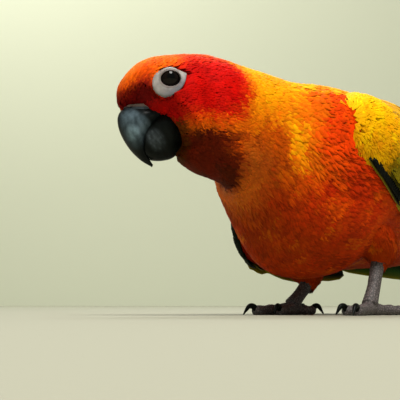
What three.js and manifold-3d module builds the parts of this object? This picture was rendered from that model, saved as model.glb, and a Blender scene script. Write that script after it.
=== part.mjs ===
// A sun conure, life size and still, as a museum model: a small parrot standing low on a flat floor, its body level,
// its neck stretched forward and its head turned to its right and bent down. Millimetres, +Z up. The bird faces -X,
// so its left side is -Y and its tail runs to +X. Head, neck and torso are lengths of one lofted body; wings and tail
// carry their flight feathers as overlapping vanes.
import * as THREE from "three";
import { mergeVertices } from "three/addons/utils/BufferGeometryUtils.js";
import Module from "manifold-3d";

const wasm = await Module();
wasm.setup();

// Driving dimensions
const GAP = 0.35; // between neighbouring pieces
const BODY_SHIFT = [-62.35, -0.81, 0]; // puts the origin at the middle of the whole bird's footprint, on the floor
const HEAD_AT = [-61, 20, 74]; // midway between the eyes
const HEAD_YAW = 43; // degrees to the bird's right
const HEAD_PITCH = 36; // degrees down
const HEAD_ROLL = 2; // degrees, crown towards the bird's right
const BODY_LEAN = 13; // degrees that the body's left side is carried above its right side
const SECTION_SIDES = 24;
const SECTION_STEPS = 3; // rings for each stretch between two stations
const EYE_RADIUS = 3.9;
const EYE_OUT = 10.9; // from the head's middle plane to the eyeball's centre
const SHINGLE_STEP = 0.9; // height from one feather of a row to the next, as shingles lie
const VANE_THICK = 0.58;
const ROOT_SUNK = 0.5; // how deep a feather's root lies in the flesh
const TAIL_PAIRS = 6;
const FLOOR_TRIM = 0; // the level that the soles are cut at

// Small tools

const radians = (degrees) => (degrees * Math.PI) / 180;
const point = (x, y, z) => new THREE.Vector3(x, y, z);

// A curve through (x, y) pairs, for a size that changes along the body.
function along(pairs) {
  const slope = pairs.map((p, i) => {
    const before = pairs[Math.max(i - 1, 0)];
    const after = pairs[Math.min(i + 1, pairs.length - 1)];
    return (after[1] - before[1]) / (after[0] - before[0]);
  });
  return (x) => {
    const last = pairs.length - 1;
    if (x <= pairs[0][0]) return pairs[0][1];
    if (x >= pairs[last][0]) return pairs[last][1];
    const i = pairs.findIndex((p) => p[0] > x) - 1;
    const span = pairs[i + 1][0] - pairs[i][0];
    const t = (x - pairs[i][0]) / span;
    const ease = t * t * (3 - 2 * t);
    return (
      pairs[i][1] * (1 - ease) +
      pairs[i + 1][1] * ease +
      slope[i] * span * t * (1 - t) * (1 - t) -
      slope[i + 1] * span * t * t * (1 - t)
    );
  };
}

// Rings of equal count, joined one to the next and closed by a fan at each end.
function loft(rings) {
  const sides = rings[0].length;
  const spots = rings.flat().map((p) => p.toArray());
  const faces = [];
  for (let r = 0; r + 1 < rings.length; r++)
    for (let k = 0; k < sides; k++) {
      const a = r * sides + k;
      const b = r * sides + ((k + 1) % sides);
      faces.push([a, b, b + sides], [a, b + sides, a + sides]);
    }
  for (const [r, turn] of [
    [0, true],
    [rings.length - 1, false],
  ]) {
    const middle = rings[r]
      .reduce((sum, p) => sum.add(p), point(0, 0, 0))
      .divideScalar(sides);
    const hub = spots.push(middle.toArray()) - 1;
    for (let k = 0; k < sides; k++) {
      const a = r * sides + k;
      const b = r * sides + ((k + 1) % sides);
      faces.push(turn ? [b, a, hub] : [a, b, hub]);
    }
  }
  return solid(spots, faces);
}

// A closed solid from corners and triangles, turned right side out.
function solid(spots, faces) {
  const make = (turned) =>
    new wasm.Manifold(
      new wasm.Mesh({
        numProp: 3,
        vertProperties: new Float32Array(spots.flat()),
        triVerts: new Uint32Array(
          turned ? faces.flatMap(([a, b, c]) => [a, c, b]) : faces.flat(),
        ),
      }),
    );
  const made = make(false);
  return made.volume() < 0 ? make(true) : made;
}

// A three.js geometry as a solid.
function solidOf(geometry) {
  const bare = geometry.clone();
  bare.deleteAttribute("normal");
  bare.deleteAttribute("uv");
  const merged = mergeVertices(bare, 1e-4);
  const at = merged.attributes.position;
  const spots = [];
  for (let i = 0; i < at.count; i++)
    spots.push([at.getX(i), at.getY(i), at.getZ(i)]);
  const faces = [];
  for (let i = 0; i < merged.index.count; i += 3)
    faces.push([0, 1, 2].map((k) => merged.index.getX(i + k)));
  return solid(spots, faces);
}

const joined = (pieces) => pieces.reduce((sum, piece) => sum.add(piece));

// The largest closed body of a solid.
const largest = (whole) =>
  whole.decompose().sort((a, b) => b.volume() - a.volume())[0];

// A ball at a point, squashed along its own axes where the sizes differ.
function ball(at, radii, axes, detail = 20) {
  const geometry = new THREE.SphereGeometry(1, detail, detail / 2);
  const basis = new THREE.Matrix4().makeBasis(...axes);
  const matrix = new THREE.Matrix4()
    .makeTranslation(...at.toArray())
    .multiply(basis)
    .multiply(new THREE.Matrix4().makeScale(...radii));
  return solidOf(geometry.applyMatrix4(matrix));
}

// Points round a section: sizes to the side, the top and the bottom, and how square it is.
function section(centre, side, up, sizes, sides = SECTION_SIDES) {
  const [toSide, toTop, toBottom, square = 1] = sizes;
  return Array.from({ length: sides }, (_, k) => {
    const turn = (2 * Math.PI * k) / sides;
    const c = Math.cos(turn);
    const s = Math.sin(turn);
    const across = Math.sign(c) * Math.abs(c) ** square * toSide;
    const height =
      Math.sign(s) * Math.abs(s) ** square * (s > 0 ? toTop : toBottom);
    return centre
      .clone()
      .addScaledVector(side, across)
      .addScaledVector(up, height);
  });
}

// Rings that run smoothly through the stations' rings.
function smoothRings(stations, steps) {
  const curves = stations[0].map(
    (_, k) =>
      new THREE.CatmullRomCurve3(
        stations.map((ring) => ring[k]),
        false,
        "catmullrom",
      ),
  );
  const count = (stations.length - 1) * steps;
  return Array.from({ length: count + 1 }, (_, i) =>
    curves.map((curve) => curve.getPoint(i / count)),
  );
}

// The head's own frame: forward along the bill, left, and up through the crown

const headAxes = (() => {
  const forward = point(-1, 0, 0);
  const left = point(0, -1, 0);
  const up = point(0, 0, 1);
  const all = [forward, left, up];
  const turn = (axis, degrees) => {
    const about = axis.clone();
    all.forEach((v) => v.applyAxisAngle(about, radians(degrees)));
  };
  turn(point(0, 0, 1), -HEAD_YAW);
  turn(left, HEAD_PITCH);
  turn(forward, HEAD_ROLL);
  return { forward, left, up };
})();

const inHead = (f, u, l = 0) =>
  point(...HEAD_AT)
    .addScaledVector(headAxes.forward, f)
    .addScaledVector(headAxes.up, u)
    .addScaledVector(headAxes.left, l);

// Body: the face, head, neck, breast, belly and rump as one loft. A head station gives the top and the bottom of its
// section, forward of and above the eyes, then the part of that height that lies above its widest line, its half
// width and how square it is. Body stations are given in the bird's frame.

const HEAD_STATIONS = [
  { top: [17.2, 1.4], bottom: [10.5, -18.5], crown: 0.42, half: 4.8, square: 1 },
  { top: [15.9, 5.2], bottom: [10.6, -21.3], crown: 0.44, half: 8.4, square: 1 },
  { top: [11.8, 9.6], bottom: [9.8, -24.4], crown: 0.42, half: 11.8, square: 1 },
  { top: [2.6, 11.1], bottom: [8.0, -29.2], crown: 0.4, half: 14.4, square: 0.93 },
  { top: [-8.8, 5.6], bottom: [5.0, -34.0], crown: 0.36, half: 15.6, square: 0.93 },
  { top: [-19.4, -1.3], bottom: [3.2, -38.5], crown: 0.38, half: 17.2, square: 0.95 },
];
const BODY_STATIONS = [
  { x: -32, y: 10, z: 63, turn: 20, rise: 0, sizes: [19.5, 20.6, 23.2, 0.95] },
  { x: -15, y: 4, z: 56, turn: 8, rise: 3, sizes: [23.8, 19.9, 38.2, 0.8] },
  { x: 3, y: 0, z: 49, turn: 0, rise: 8, sizes: [25.2, 23.8, 36.0, 0.84] },
  { x: 21, y: 0, z: 44, turn: 0, rise: 18, sizes: [24.6, 23.4, 29.0, 0.9] },
  { x: 40, y: 0, z: 37, turn: 0, rise: 20, sizes: [20.0, 19.6, 20.5] },
  { x: 58, y: 0, z: 31.5, turn: 0, rise: 15, sizes: [13.6, 13.0, 13.2] },
  { x: 73, y: 0, z: 28.6, turn: 0, rise: 9, sizes: [9.6, 7.4, 6.8] },
];

// The body's lean, for points and for finished solids: a shear, so the belly stays under the back.
const leaning = new THREE.Matrix4();
leaning.elements[6] = -Math.tan(radians(BODY_LEAN));
const lean = (whole) => whole.transform(leaning.elements);

const grownSizes = ([toSide, toTop, toBottom, square], grow) => [
  toSide + grow,
  toTop + grow,
  toBottom + grow,
  square,
];

function bodyStations(grow = 0) {
  const heads = HEAD_STATIONS.map(({ top, bottom, crown, half, square }) => {
    const high = inHead(...top);
    const low = inHead(...bottom);
    const tall = high.distanceTo(low);
    const up = high.clone().sub(low).normalize();
    const centre = high.lerp(low, crown);
    const sizes = [half, tall * crown, tall * (1 - crown), square];
    return section(centre, headAxes.left, up, grownSizes(sizes, grow));
  });
  const bodies = BODY_STATIONS.map(({ x, y, z, turn, rise, sizes }) => {
    const left = point(0, -1, 0).applyAxisAngle(
      point(0, 0, 1),
      radians(-turn),
    );
    const up = point(0, 0, 1).applyAxisAngle(left, radians(-rise));
    const ring = section(
      point(x, y, z),
      left,
      up,
      grownSizes(sizes, grow),
    );
    return ring.map((p) => p.applyMatrix4(leaning));
  });
  return [...heads, ...bodies];
}

const wholeBody = loft(smoothRings(bodyStations(), SECTION_STEPS));
const grownBody = loft(smoothRings(bodyStations(GAP), SECTION_STEPS));

// Bill: two horn shells lofted along the culmen and the cutting edge, and a cere with its nostrils

// Each row: top edge forward and up, lower edge forward and up, half width.
const UPPER_BILL = [
  [13.0, 1.6, 5.6, -8.6, 6.4],
  [16.2, 2.0, 8.2, -8.6, 7.3],
  [18.9, 0.7, 11.2, -8.8, 7.4],
  [20.7, -2.4, 14.0, -9.6, 6.7],
  [21.6, -6.4, 16.2, -11.0, 5.5],
  [21.7, -10.8, 17.9, -13.4, 3.9],
  [20.9, -15.0, 18.5, -16.1, 2.1],
  [19.3, -18.7, 18.6, -18.3, 0.7],
];
const LOWER_BILL = [
  [4.6, -6.8, 5.0, -17.0, 6.0],
  [7.4, -5.6, 7.8, -19.2, 7.3],
  [11.6, -5.8, 12.0, -20.1, 7.2],
  [15.4, -7.8, 15.4, -18.9, 6.2],
  [18.2, -11.0, 17.8, -17.2, 4.6],
  [19.2, -13.6, 18.9, -15.8, 2.6],
];
const BILL_SIDES = 16;
const RIDGE = 0.3; // how much narrower a bill section is at its ridge

function billLoft(rows, ridgeUp, grow) {
  const rings = rows.map(([topF, topU, lowF, lowU, half]) => {
    const top = inHead(topF, topU);
    const low = inHead(lowF, lowU);
    const rise = top.clone().sub(low);
    const tall = rise.length() / 2 + grow;
    rise.normalize();
    const middle = top.add(low).multiplyScalar(0.5);
    return Array.from({ length: BILL_SIDES }, (_, k) => {
      const turn = (2 * Math.PI * k) / BILL_SIDES;
      const s = Math.sin(turn);
      const narrow = 1 - RIDGE * (ridgeUp ? s : -s);
      return middle
        .clone()
        .addScaledVector(
          headAxes.left,
          Math.cos(turn) * (half + grow) * narrow,
        )
        .addScaledVector(rise, s * tall);
    });
  });
  return loft(smoothRings(rings, 2));
}

// Feathers stand back from both shells: on each side the face is cut away in a shape that flares outwards.
const BARE_EDGE = [
  [17.4, 2.0],
  [14.6, 1.4],
  [11.9, 0.5],
  [10.6, -1.6],
  [9.9, -4.1],
  [8.9, -6.3],
  [7.2, -8.2],
  [6.4, -10.6],
  [6.0, -13.5],
  [5.9, -16.8],
  [7.9, -19.8],
  [10.8, -21.6],
  [15.0, -22.0],
  [20.0, -21.0],
  [25.0, -12.0],
  [24.0, 0.0],
  [19.5, 2.6],
];
const bareSide = (sign) =>
  loft(
    [
      [3.2, 1],
      [7.4, 1.04],
      [15, 1.3],
    ].map(([out, grow]) =>
      BARE_EDGE.map(([f, u]) =>
        inHead(12 + (f - 12) * grow, -11 + (u + 11) * grow, sign * out),
      ),
    ),
  );

const upperBillGrown = billLoft(UPPER_BILL, true, GAP);
const upperBillCore = billLoft(UPPER_BILL, true, 0);
const lowerBill = billLoft(LOWER_BILL, false, 0).subtract(upperBillGrown);
const lowerBillGrown = billLoft(LOWER_BILL, false, GAP);

// The cere is a pad over the root of the upper bill, with a nostril bored in each side.
const CERE_STATIONS = [
  [14.8, 2.7, 7.2, -4.2, 7.3],
  [15.9, 2.8, 8.0, -4.6, 7.8],
  [17.0, 2.3, 9.1, -4.9, 7.9],
  [17.8, 1.7, 10.1, -5.1, 7.6],
];
const NOSTRIL_RADIUS = 0.75;
const nostrils = [1, -1].map((sign) =>
  ball(inHead(14.6, 0.9, sign * 6.2), [NOSTRIL_RADIUS, NOSTRIL_RADIUS, 1.6], [
    headAxes.forward,
    headAxes.up,
    headAxes.left,
  ], 8),
);
const cereBlock = billLoft(CERE_STATIONS, true, 0.1);
const cere = largest(
  cereBlock.subtract(upperBillGrown).subtract(joined(nostrils)),
);
const cereGrown = billLoft(CERE_STATIONS, true, 0.1 + GAP);

// Eyes: each ball sits in a ring of bare skin let into the side of the head, its lids raised round the opening

const RING_BACK = 2.2; // how far the ring reaches into the head
const RING_PROUD = 0.35; // how far it stands out of the face
const LID_RADIUS = 0.5;
const RING_SIDES = 20;
const LID_SIDES = 14;
const EYE_OPEN = [3.1, 2.5]; // half sizes of the opening between the lids
const EYE_LEAN = 12; // degrees that the opening is turned in the ring

// The ring's outline round the eye: longest below, with a point at its upper back corner.
function ringOutline(grow) {
  return Array.from({ length: RING_SIDES }, (_, k) => {
    const turn = (2 * Math.PI * k) / RING_SIDES;
    const corner = Math.max(0, Math.cos(turn - radians(148))) ** 10;
    const below = Math.max(0, Math.cos(turn + radians(75)));
    const reach = 4.4 + 1.5 * corner + 1.9 * below + grow;
    return [Math.cos(turn) * reach, Math.sin(turn) * reach];
  });
}

function prism(outline, sign, from, to) {
  const rings = [from, to].map((l) =>
    outline.map(([f, u]) => inHead(f, u, sign * l)),
  );
  return loft(rings);
}

const grownHead = loft(smoothRings(bodyStations(RING_PROUD), SECTION_STEPS));

function eyeParts(sign) {
  const centre = inHead(0, 0, sign * EYE_OUT);
  const axes = [headAxes.forward, headAxes.up, headAxes.left];
  const eye = ball(centre, [EYE_RADIUS, EYE_RADIUS, EYE_RADIUS], axes, 12);
  const room = EYE_RADIUS + GAP;
  const socket = ball(centre, [room, room, room], axes, 12);
  const surface = 14.2;
  const plate = prism(ringOutline(0), sign, surface - RING_BACK, surface + 4);
  const ringFace = plate.intersect(grownHead);
  const lids = Array.from({ length: LID_SIDES }, (_, k) => {
    const turn = (2 * Math.PI * k) / LID_SIDES;
    const lean = radians(EYE_LEAN);
    const f = Math.cos(turn) * EYE_OPEN[0];
    const u = Math.sin(turn) * EYE_OPEN[1];
    return point(
      f * Math.cos(lean) - u * Math.sin(lean),
      f * Math.sin(lean) + u * Math.cos(lean),
      0,
    );
  });
  const lidRing = torus(
    lids.map(({ x, y }) => {
      const out = Math.sqrt(
        Math.max(room * room - x * x - y * y, 0),
      );
      return inHead(x, y, sign * (EYE_OUT + out + 0.15));
    }),
    LID_RADIUS,
  );
  const pocket = prism(
    ringOutline(GAP),
    sign,
    surface - RING_BACK - GAP,
    surface + 4,
  );
  return {
    eye,
    ring: largest(ringFace.add(lidRing).subtract(socket)),
    pocket: pocket.add(socket),
  };
}

// A tube round a closed line of points.
function torus(line, radius, sides = 5) {
  const count = line.length;
  const centre = line
    .reduce((sum, p) => sum.add(p), point(0, 0, 0))
    .divideScalar(count);
  const spots = [];
  line.forEach((p, i) => {
    const ahead = line[(i + 1) % count]
      .clone()
      .sub(line[(i + count - 1) % count])
      .normalize();
    const out = p.clone().sub(centre);
    out.addScaledVector(ahead, -out.dot(ahead)).normalize();
    const third = ahead.clone().cross(out);
    for (let k = 0; k < sides; k++) {
      const turn = (2 * Math.PI * k) / sides;
      spots.push(
        p
          .clone()
          .addScaledVector(out, Math.cos(turn) * radius)
          .addScaledVector(third, Math.sin(turn) * radius)
          .toArray(),
      );
    }
  });
  const faces = [];
  for (let i = 0; i < count; i++)
    for (let k = 0; k < sides; k++) {
      const a = i * sides + k;
      const b = i * sides + ((k + 1) % sides);
      const c = ((i + 1) % count) * sides + ((k + 1) % sides);
      const d = ((i + 1) % count) * sides + k;
      faces.push([a, b, c], [a, c, d]);
    }
  return solid(spots, faces);
}

const leftEye = eyeParts(1);
const rightEye = eyeParts(-1);

// Head, neck and torso are cut from the one body by two flat cuts.
const cutAt = (x, y, turn) => {
  const normal = [Math.cos(radians(turn)), -Math.sin(radians(turn)), 0];
  return { normal, offset: normal[0] * x + normal[1] * y };
};
const napeCut = cutAt(-43, 13, 24);
const chestCut = cutAt(-22, 6, 14);
const beyond = (whole, { normal, offset }) =>
  whole.trimByPlane(normal, offset + GAP / 2);
const before = (whole, { normal, offset }) =>
  whole.trimByPlane(
    normal.map((n) => -n),
    -offset + GAP / 2,
  );

const head = largest(
  before(wholeBody, napeCut)
    .subtract(upperBillGrown)
    .subtract(lowerBillGrown)
    .subtract(bareSide(1))
    .subtract(bareSide(-1))
    .subtract(cereGrown)
    .subtract(leftEye.pocket)
    .subtract(rightEye.pocket),
);
const neck = largest(before(beyond(wholeBody, napeCut), chestCut));

// Wings: a carrier surface wraps the body's sides, and everything in a wing is placed on it by its distance back
// and its angle up from the side

const carrierHeight = along([
  [-18, 58.5],
  [-12, 56],
  [5, 49.6],
  [28, 41.6],
  [50, 34.2],
  [70, 30],
  [90, 27],
  [120, 23],
  [156, 19],
]);
const carrierSide = along([
  [-18, 23.5],
  [-8, 26.2],
  [5, 27.4],
  [28, 26.6],
  [50, 22.8],
  [70, 17.6],
  [90, 14.2],
  [120, 11.6],
  [156, 9.4],
]);
const carrierTop = along([
  [-18, 18],
  [-8, 20.6],
  [5, 23],
  [28, 25.4],
  [50, 22.4],
  [70, 16.8],
  [90, 12.6],
  [120, 9],
  [156, 6],
]);
const wingLow = along([
  [-17, 8],
  [-16, -12],
  [-13, -24],
  [-8, -32],
  [0, -37],
  [12, -38],
  [30, -33],
  [50, -25],
  [66, -14],
]);
const wingHigh = along([
  [-17, 16],
  [-15, 34],
  [-11, 49],
  [-3, 61],
  [10, 67],
  [30, 69],
  [66, 78],
]);
const wingThick = along([
  [-17, 0.3],
  [-14, 2.6],
  [-8, 4],
  [4, 4.6],
  [30, 3.4],
  [50, 2.2],
  [66, 1.0],
]);

// The right wing hangs loose, as the bird leans to that side: it has slipped down round the body, and below its
// middle the front of it drops further and stands away.
const WING_SLIP = 5; // degrees
const wingDroop = along([
  [-17, 1.2],
  [-7, 1.2],
  [2, 0.92],
  [12, 0.56],
  [26, 0.24],
  [44, 0.05],
  [60, 0],
]);

// A point on a left wing's carrier, lifted off it.
function onWing(x, angle, lift) {
  const turn = radians(angle);
  const y = carrierSide(x) * Math.cos(turn);
  const z = carrierTop(x) * Math.sin(turn);
  const outY = Math.cos(turn) / carrierSide(x);
  const outZ = Math.sin(turn) / carrierTop(x);
  const size = Math.hypot(outY, outZ);
  return point(
    x,
    -(y + (lift * outY) / size),
    carrierHeight(x) + z + (lift * outZ) / size,
  );
}

// A vane as a thin plate. place(t, q, lift) gives a point at t along it and q across it.
function plate(steps, place, thick) {
  const spots = [];
  const columns = 2;
  for (const under of [0, 1])
    for (const { t, half } of steps)
      for (let k = 0; k < columns; k++) {
        const depth = thick * (1 - 0.45 * t);
        spots.push(place(t, (2 * k - 1) * half, -under * depth).toArray());
      }
  return solid(spots, sheetFaces(steps.length, columns));
}

// The triangles of a closed sheet: an upper grid of points, the same grid below it, and a rim round both.
function sheetFaces(rows, columns) {
  const at = (under, r, k) => (under * rows + r) * columns + k;
  const faces = [];
  for (let r = 0; r + 1 < rows; r++)
    for (let k = 0; k + 1 < columns; k++)
      for (const under of [0, 1]) {
        const a = at(under, r, k);
        const b = at(under, r, k + 1);
        const c = at(under, r + 1, k + 1);
        const d = at(under, r + 1, k);
        faces.push(...(under ? [[a, c, b], [a, d, c]] : [[a, b, c], [a, c, d]]));
      }
  const rim = [];
  for (let k = 0; k < columns - 1; k++) rim.push([0, k]);
  for (let r = 0; r < rows - 1; r++) rim.push([r, columns - 1]);
  for (let k = columns - 1; k > 0; k--) rim.push([rows - 1, k]);
  for (let r = rows - 1; r > 0; r--) rim.push([r, 0]);
  rim.forEach(([r, k], i) => {
    const [r2, k2] = rim[(i + 1) % rim.length];
    const a = at(0, r, k);
    const b = at(0, r2, k2);
    const c = at(1, r2, k2);
    const d = at(1, r, k);
    faces.push([a, c, b], [a, d, c]);
  });
  return faces;
}

const VANE_PROFILE = [
  [0, 0.6],
  [0.4, 1],
  [0.86, 0.84],
  [1, 0.2],
];

const mix = (a, b, t) => a + (b - a) * t;
const spread = (count, make) =>
  Array.from({ length: count }, (_, i) => make(i, i / (count - 1)));

// How high the wing's own flesh stands off the carrier.
function padLift(x, angle) {
  const s = (angle - wingLow(x)) / (wingHigh(x) - wingLow(x));
  const round = 1 - Math.min(Math.abs(2 * s - 1), 1) ** 3;
  return wingThick(x) * round - 0.2;
}

// One feather of a left wing, from its root sunk in the flesh to its tip, each given by distance back and angle. Lift
// is the tip's height, and beside the angle to the next feather of its row, at the root and at the tip.
function wingVane({ root, tip, beside, width, lift }) {
  const local = (x) => (carrierSide(x) + carrierTop(x)) / 2;
  const run = tip[0] - root[0];
  const climb = radians(tip[1] - root[1]) * local(mix(root[0], tip[0], 0.5));
  const long = Math.hypot(run, climb);
  const steps = VANE_PROFILE.map(([t, w]) => ({ t, half: (w * width) / 2 }));
  return plate(
    steps,
    (t, q, high) => {
      const x = root[0] + run * t - (q * climb) / long;
      const turn = (q * run) / long / local(x);
      const angle = mix(root[1], tip[1], t) + (turn * 180) / Math.PI;
      const gap = radians(mix(beside[0], beside[1], t)) * local(x);
      const tilt = (SHINGLE_STEP / gap) * Math.min(1, 0.3 + t * 2);
      const rise = Math.min(1, t * 2.4);
      const axis = mix(padLift(...root) - ROOT_SUNK, lift, rise);
      return onWing(x, angle, axis - tilt * q + high);
    },
    VANE_THICK,
  );
}

// Each row of feathers: how many, then their roots and tips from the lowest feather to the highest.
const PRIMARY_TIPS = [143, 149, 141, 129, 116];
const WING_ROWS = [
  {
    count: 5,
    root: (t) => [40, mix(-23, 26, t)],
    tip: (t, i) => [PRIMARY_TIPS[i], mix(-10, 52, t)],
    shape: { width: 8.6, lift: 1.3 },
  },
  {
    count: 5,
    root: (t) => [36, mix(4, 60, t)],
    tip: (t) => [mix(99, 82, t), mix(6, 74, t)],
    shape: { width: 11.5, lift: 3.0 },
  },
  {
    count: 4,
    root: (t) => [6, mix(-31, -10, t)],
    tip: (t) => [mix(50, 58, t), mix(-27, 2, t)],
    shape: { width: 7.6, lift: 2.4 },
  },
  {
    count: 5,
    root: (t) => [12, mix(-2, 55, t)],
    tip: (t) => [mix(52, 48, t), mix(10, 66, t)],
    shape: { width: 11.5, lift: 4.6 },
  },
  {
    count: 5,
    root: (t) => [-2, mix(-14, 48, t)],
    tip: (t) => [mix(27, 30, t), mix(-14, 58, t)],
    shape: { width: 12.5, lift: 5.6 },
  },
];

const wingFeathers = () =>
  WING_ROWS.flatMap(({ count, root, tip, shape }) => {
    const beside = [root, tip].map(
      (end) => (end(1, count - 1)[1] - end(0, 0)[1]) / (count - 1),
    );
    return spread(count, (i, t) =>
      wingVane({ root: root(t), tip: tip(t, i), beside, ...shape }),
    );
  });

// The wing's own flesh and small coverts: a pad on the carrier that the vanes root in.
function wingPad() {
  const xs = [-17, -15.6, -13, -9, -3, 5, 16, 32, 60];
  const across = 8;
  const spots = [];
  for (const under of [0, 1])
    for (const x of xs)
      for (let k = 0; k < across; k++) {
        const s = k / (across - 1);
        const angle = mix(wingLow(x), wingHigh(x), s);
        const lift = under ? -4 + 2.6 * Math.abs(2 * s - 1) ** 3 : padLift(x, angle);
        spots.push(onWing(x, angle, lift).toArray());
      }
  return solid(spots, sheetFaces(xs.length, across));
}

// A wing slipped down round the body.
const slipped = (whole) =>
  whole.warp((spot) => {
    const [x, y, z] = spot;
    const wide = carrierSide(x);
    const tall = carrierTop(x);
    const reach = Math.hypot(y / wide, (z - carrierHeight(x)) / tall);
    const angle =
      Math.atan2((z - carrierHeight(x)) / tall, -y / wide) -
      radians(WING_SLIP);
    const below = Math.max(0, -reach * tall * Math.sin(angle)) * wingDroop(x);
    spot[1] = -reach * wide * Math.cos(angle) - below * 0.55;
    spot[2] = carrierHeight(x) + reach * tall * Math.sin(angle) - below;
  });
const mirrored = (whole) => whole.mirror([0, 1, 0]);

// Tail: long graduated feathers, the middle pair uppermost, with the coverts that hide their roots

const TAIL_ROOT = [68, 30.4]; // back, height
const TAIL_LENGTHS = [134, 121, 108, 96, 85, 75];
const TAIL_DROP = 8.4; // degrees below level
const TAIL_LAYER = 0.92; // height between one feather and the next

function tailVane(pair, sign) {
  const t = pair / (TAIL_PAIRS - 1);
  const long = TAIL_LENGTHS[pair];
  const rootY = sign * mix(2.2, 6.5, t);
  const tipY = sign * mix(2.6, 11.5, t);
  const half = mix(5.4, 4.6, t);
  const steps = VANE_PROFILE.map(([s, w]) => ({ t: s, half: half * w }));
  const drop = radians(TAIL_DROP);
  const layer = -pair * TAIL_LAYER - (sign < 0 ? 0 : TAIL_LAYER / 2);
  return plate(
    steps,
    (s, q, high) => {
      const y = mix(rootY, tipY, s) + q;
      const roof = -0.016 * y * y; // the closed tail is slightly roofed
      const sag = 3 * s * s - 3 * s; // and bows a little along its length
      return point(
        TAIL_ROOT[0] + long * s * Math.cos(drop),
        y,
        TAIL_ROOT[1] - long * s * Math.sin(drop) + roof + layer + sag + high,
      );
    },
    VANE_THICK,
  );
}

const tailVanes = [1, -1].flatMap((sign) =>
  Array.from({ length: TAIL_PAIRS }, (_, pair) => tailVane(pair, sign)),
);

const tailRootRings = [
  { x: 73.4, z: 28.2, sizes: [8.8, 6.6, 6.2] },
  { x: 83, z: 26.4, sizes: [9.0, 4.6, 5.4] },
  { x: 94, z: 24.4, sizes: [8.6, 2.6, 4.0] },
  { x: 106, z: 22.4, sizes: [6.0, 0.9, 2.2] },
];
const tailCoverts = loft(
  smoothRings(
    tailRootRings.map(({ x, z, sizes }) =>
      section(point(x, 0, z), point(0, -1, 0), point(0, 0, 1), sizes, 16),
    ),
    2,
  ),
);
const tail = largest(
  lean(joined(tailVanes).add(tailCoverts)).subtract(grownBody),
);
const tailClear = largest(
  joined(tailVanes.map((vane) => vane.translate([0, 0, GAP])))
    .add(tailCoverts.translate([0, 0, GAP]))
    .add(joined(tailVanes)),
);

const wing = joined([wingPad(), ...wingFeathers()]);
const cleared = (whole) =>
  largest(lean(whole).subtract(grownBody).subtract(lean(tailClear)));
const leftWing = cleared(wing);
const rightWing = cleared(mirrored(slipped(wing)));

// Legs: feathered thighs close under the belly, short bare shanks, two toes forward and two back. Hips and ankles
// hang from the body and share its lean, the feet stand flat on the floor. A leg's sign is 1 on the left.

const HIP = [11, 15, 23]; // back, out, height
const ANKLE = [14, 15, 14.8];
const FOOT = [5, 16, 4.6];
const SHANK_RADIUS = 2.5;
// Each toe: degrees turned out from straight ahead, length, radius at its root and end, and claw length.
const TOES = [
  { name: "inner front", turn: -12, long: 12.5, thick: [2.3, 1.9], claw: 6.4 },
  { name: "outer front", turn: 16, long: 17.5, thick: [2.4, 1.9], claw: 7.0 },
  { name: "outer back", turn: 160, long: 15.5, thick: [2.3, 1.8], claw: 6.6 },
  { name: "inner back", turn: 205, long: 9.5, thick: [2.1, 1.7], claw: 6.0 },
];
const LEG_SIDES = 7;

const onBody = (sign, [x, out, z]) =>
  point(x, -sign * out, z).applyMatrix4(leaning);

// A tube whose rings follow a line of points and radii.
function limb(line, radii, sides = LEG_SIDES) {
  const curve = new THREE.CatmullRomCurve3(line, false, "catmullrom");
  const rings = line.map((p, i) => {
    const ahead = curve.getTangent(i / (line.length - 1));
    const side = point(0, 0, 1).cross(ahead).normalize();
    const up = ahead.clone().cross(side);
    return section(p, side, up, [radii[i], radii[i], radii[i]], sides);
  });
  return loft(rings);
}

function toe(sign, { turn, long, thick, claw }) {
  const way = point(-1, 0, 0).applyAxisAngle(
    point(0, 0, 1),
    sign * radians(turn),
  );
  const out = (far, height) =>
    point(FOOT[0], -sign * FOOT[1], 0)
      .addScaledVector(way, far)
      .setZ(height);
  const joints = [0, 0.24, 0.4, 0.58, 0.72, 0.88, 1];
  const pads = [1.05, 1.0, 0.84, 1.0, 0.84, 1.0, 0.8];
  const line = joints.map((t) => out(long * t, mix(2.35, 1.55, t ** 0.5)));
  const radii = joints.map((t, i) => mix(thick[0], thick[1], t) * pads[i]);
  const flesh = limb(line, radii);
  const nail = [0, 0.25, 0.55, 0.82, 1].map((t) =>
    out(
      long - 1 + claw * 0.82 * t,
      1.9 + 1.7 * Math.sin(Math.PI * Math.min(t * 1.05, 1)) - 1.7 * t * t,
    ),
  );
  const horn = limb(nail, [1.15, 1.05, 0.85, 0.5, 0.18], 5);
  return flesh.add(horn);
}

function shank(sign, grow) {
  const ankle = onBody(sign, ANKLE);
  const sole = point(FOOT[0], -sign * FOOT[1], 3.6);
  const line = [
    ankle.clone().add(point(1 + grow, 0, 1 + grow)),
    ankle.clone().add(point(-1.5, 0, -1)),
    ankle.clone().lerp(sole, 0.6),
    sole,
  ];
  const radii = [2.9, SHANK_RADIUS, SHANK_RADIUS * 0.95, SHANK_RADIUS * 1.15];
  return limb(
    line,
    radii.map((radius) => radius + grow),
  );
}

const foot = (sign) =>
  largest(
    joined(TOES.map((each) => toe(sign, each)))
      .add(shank(sign, 0))
      .subtract(grownBody)
      .trimByPlane([0, 0, 1], FLOOR_TRIM),
  );

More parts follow.
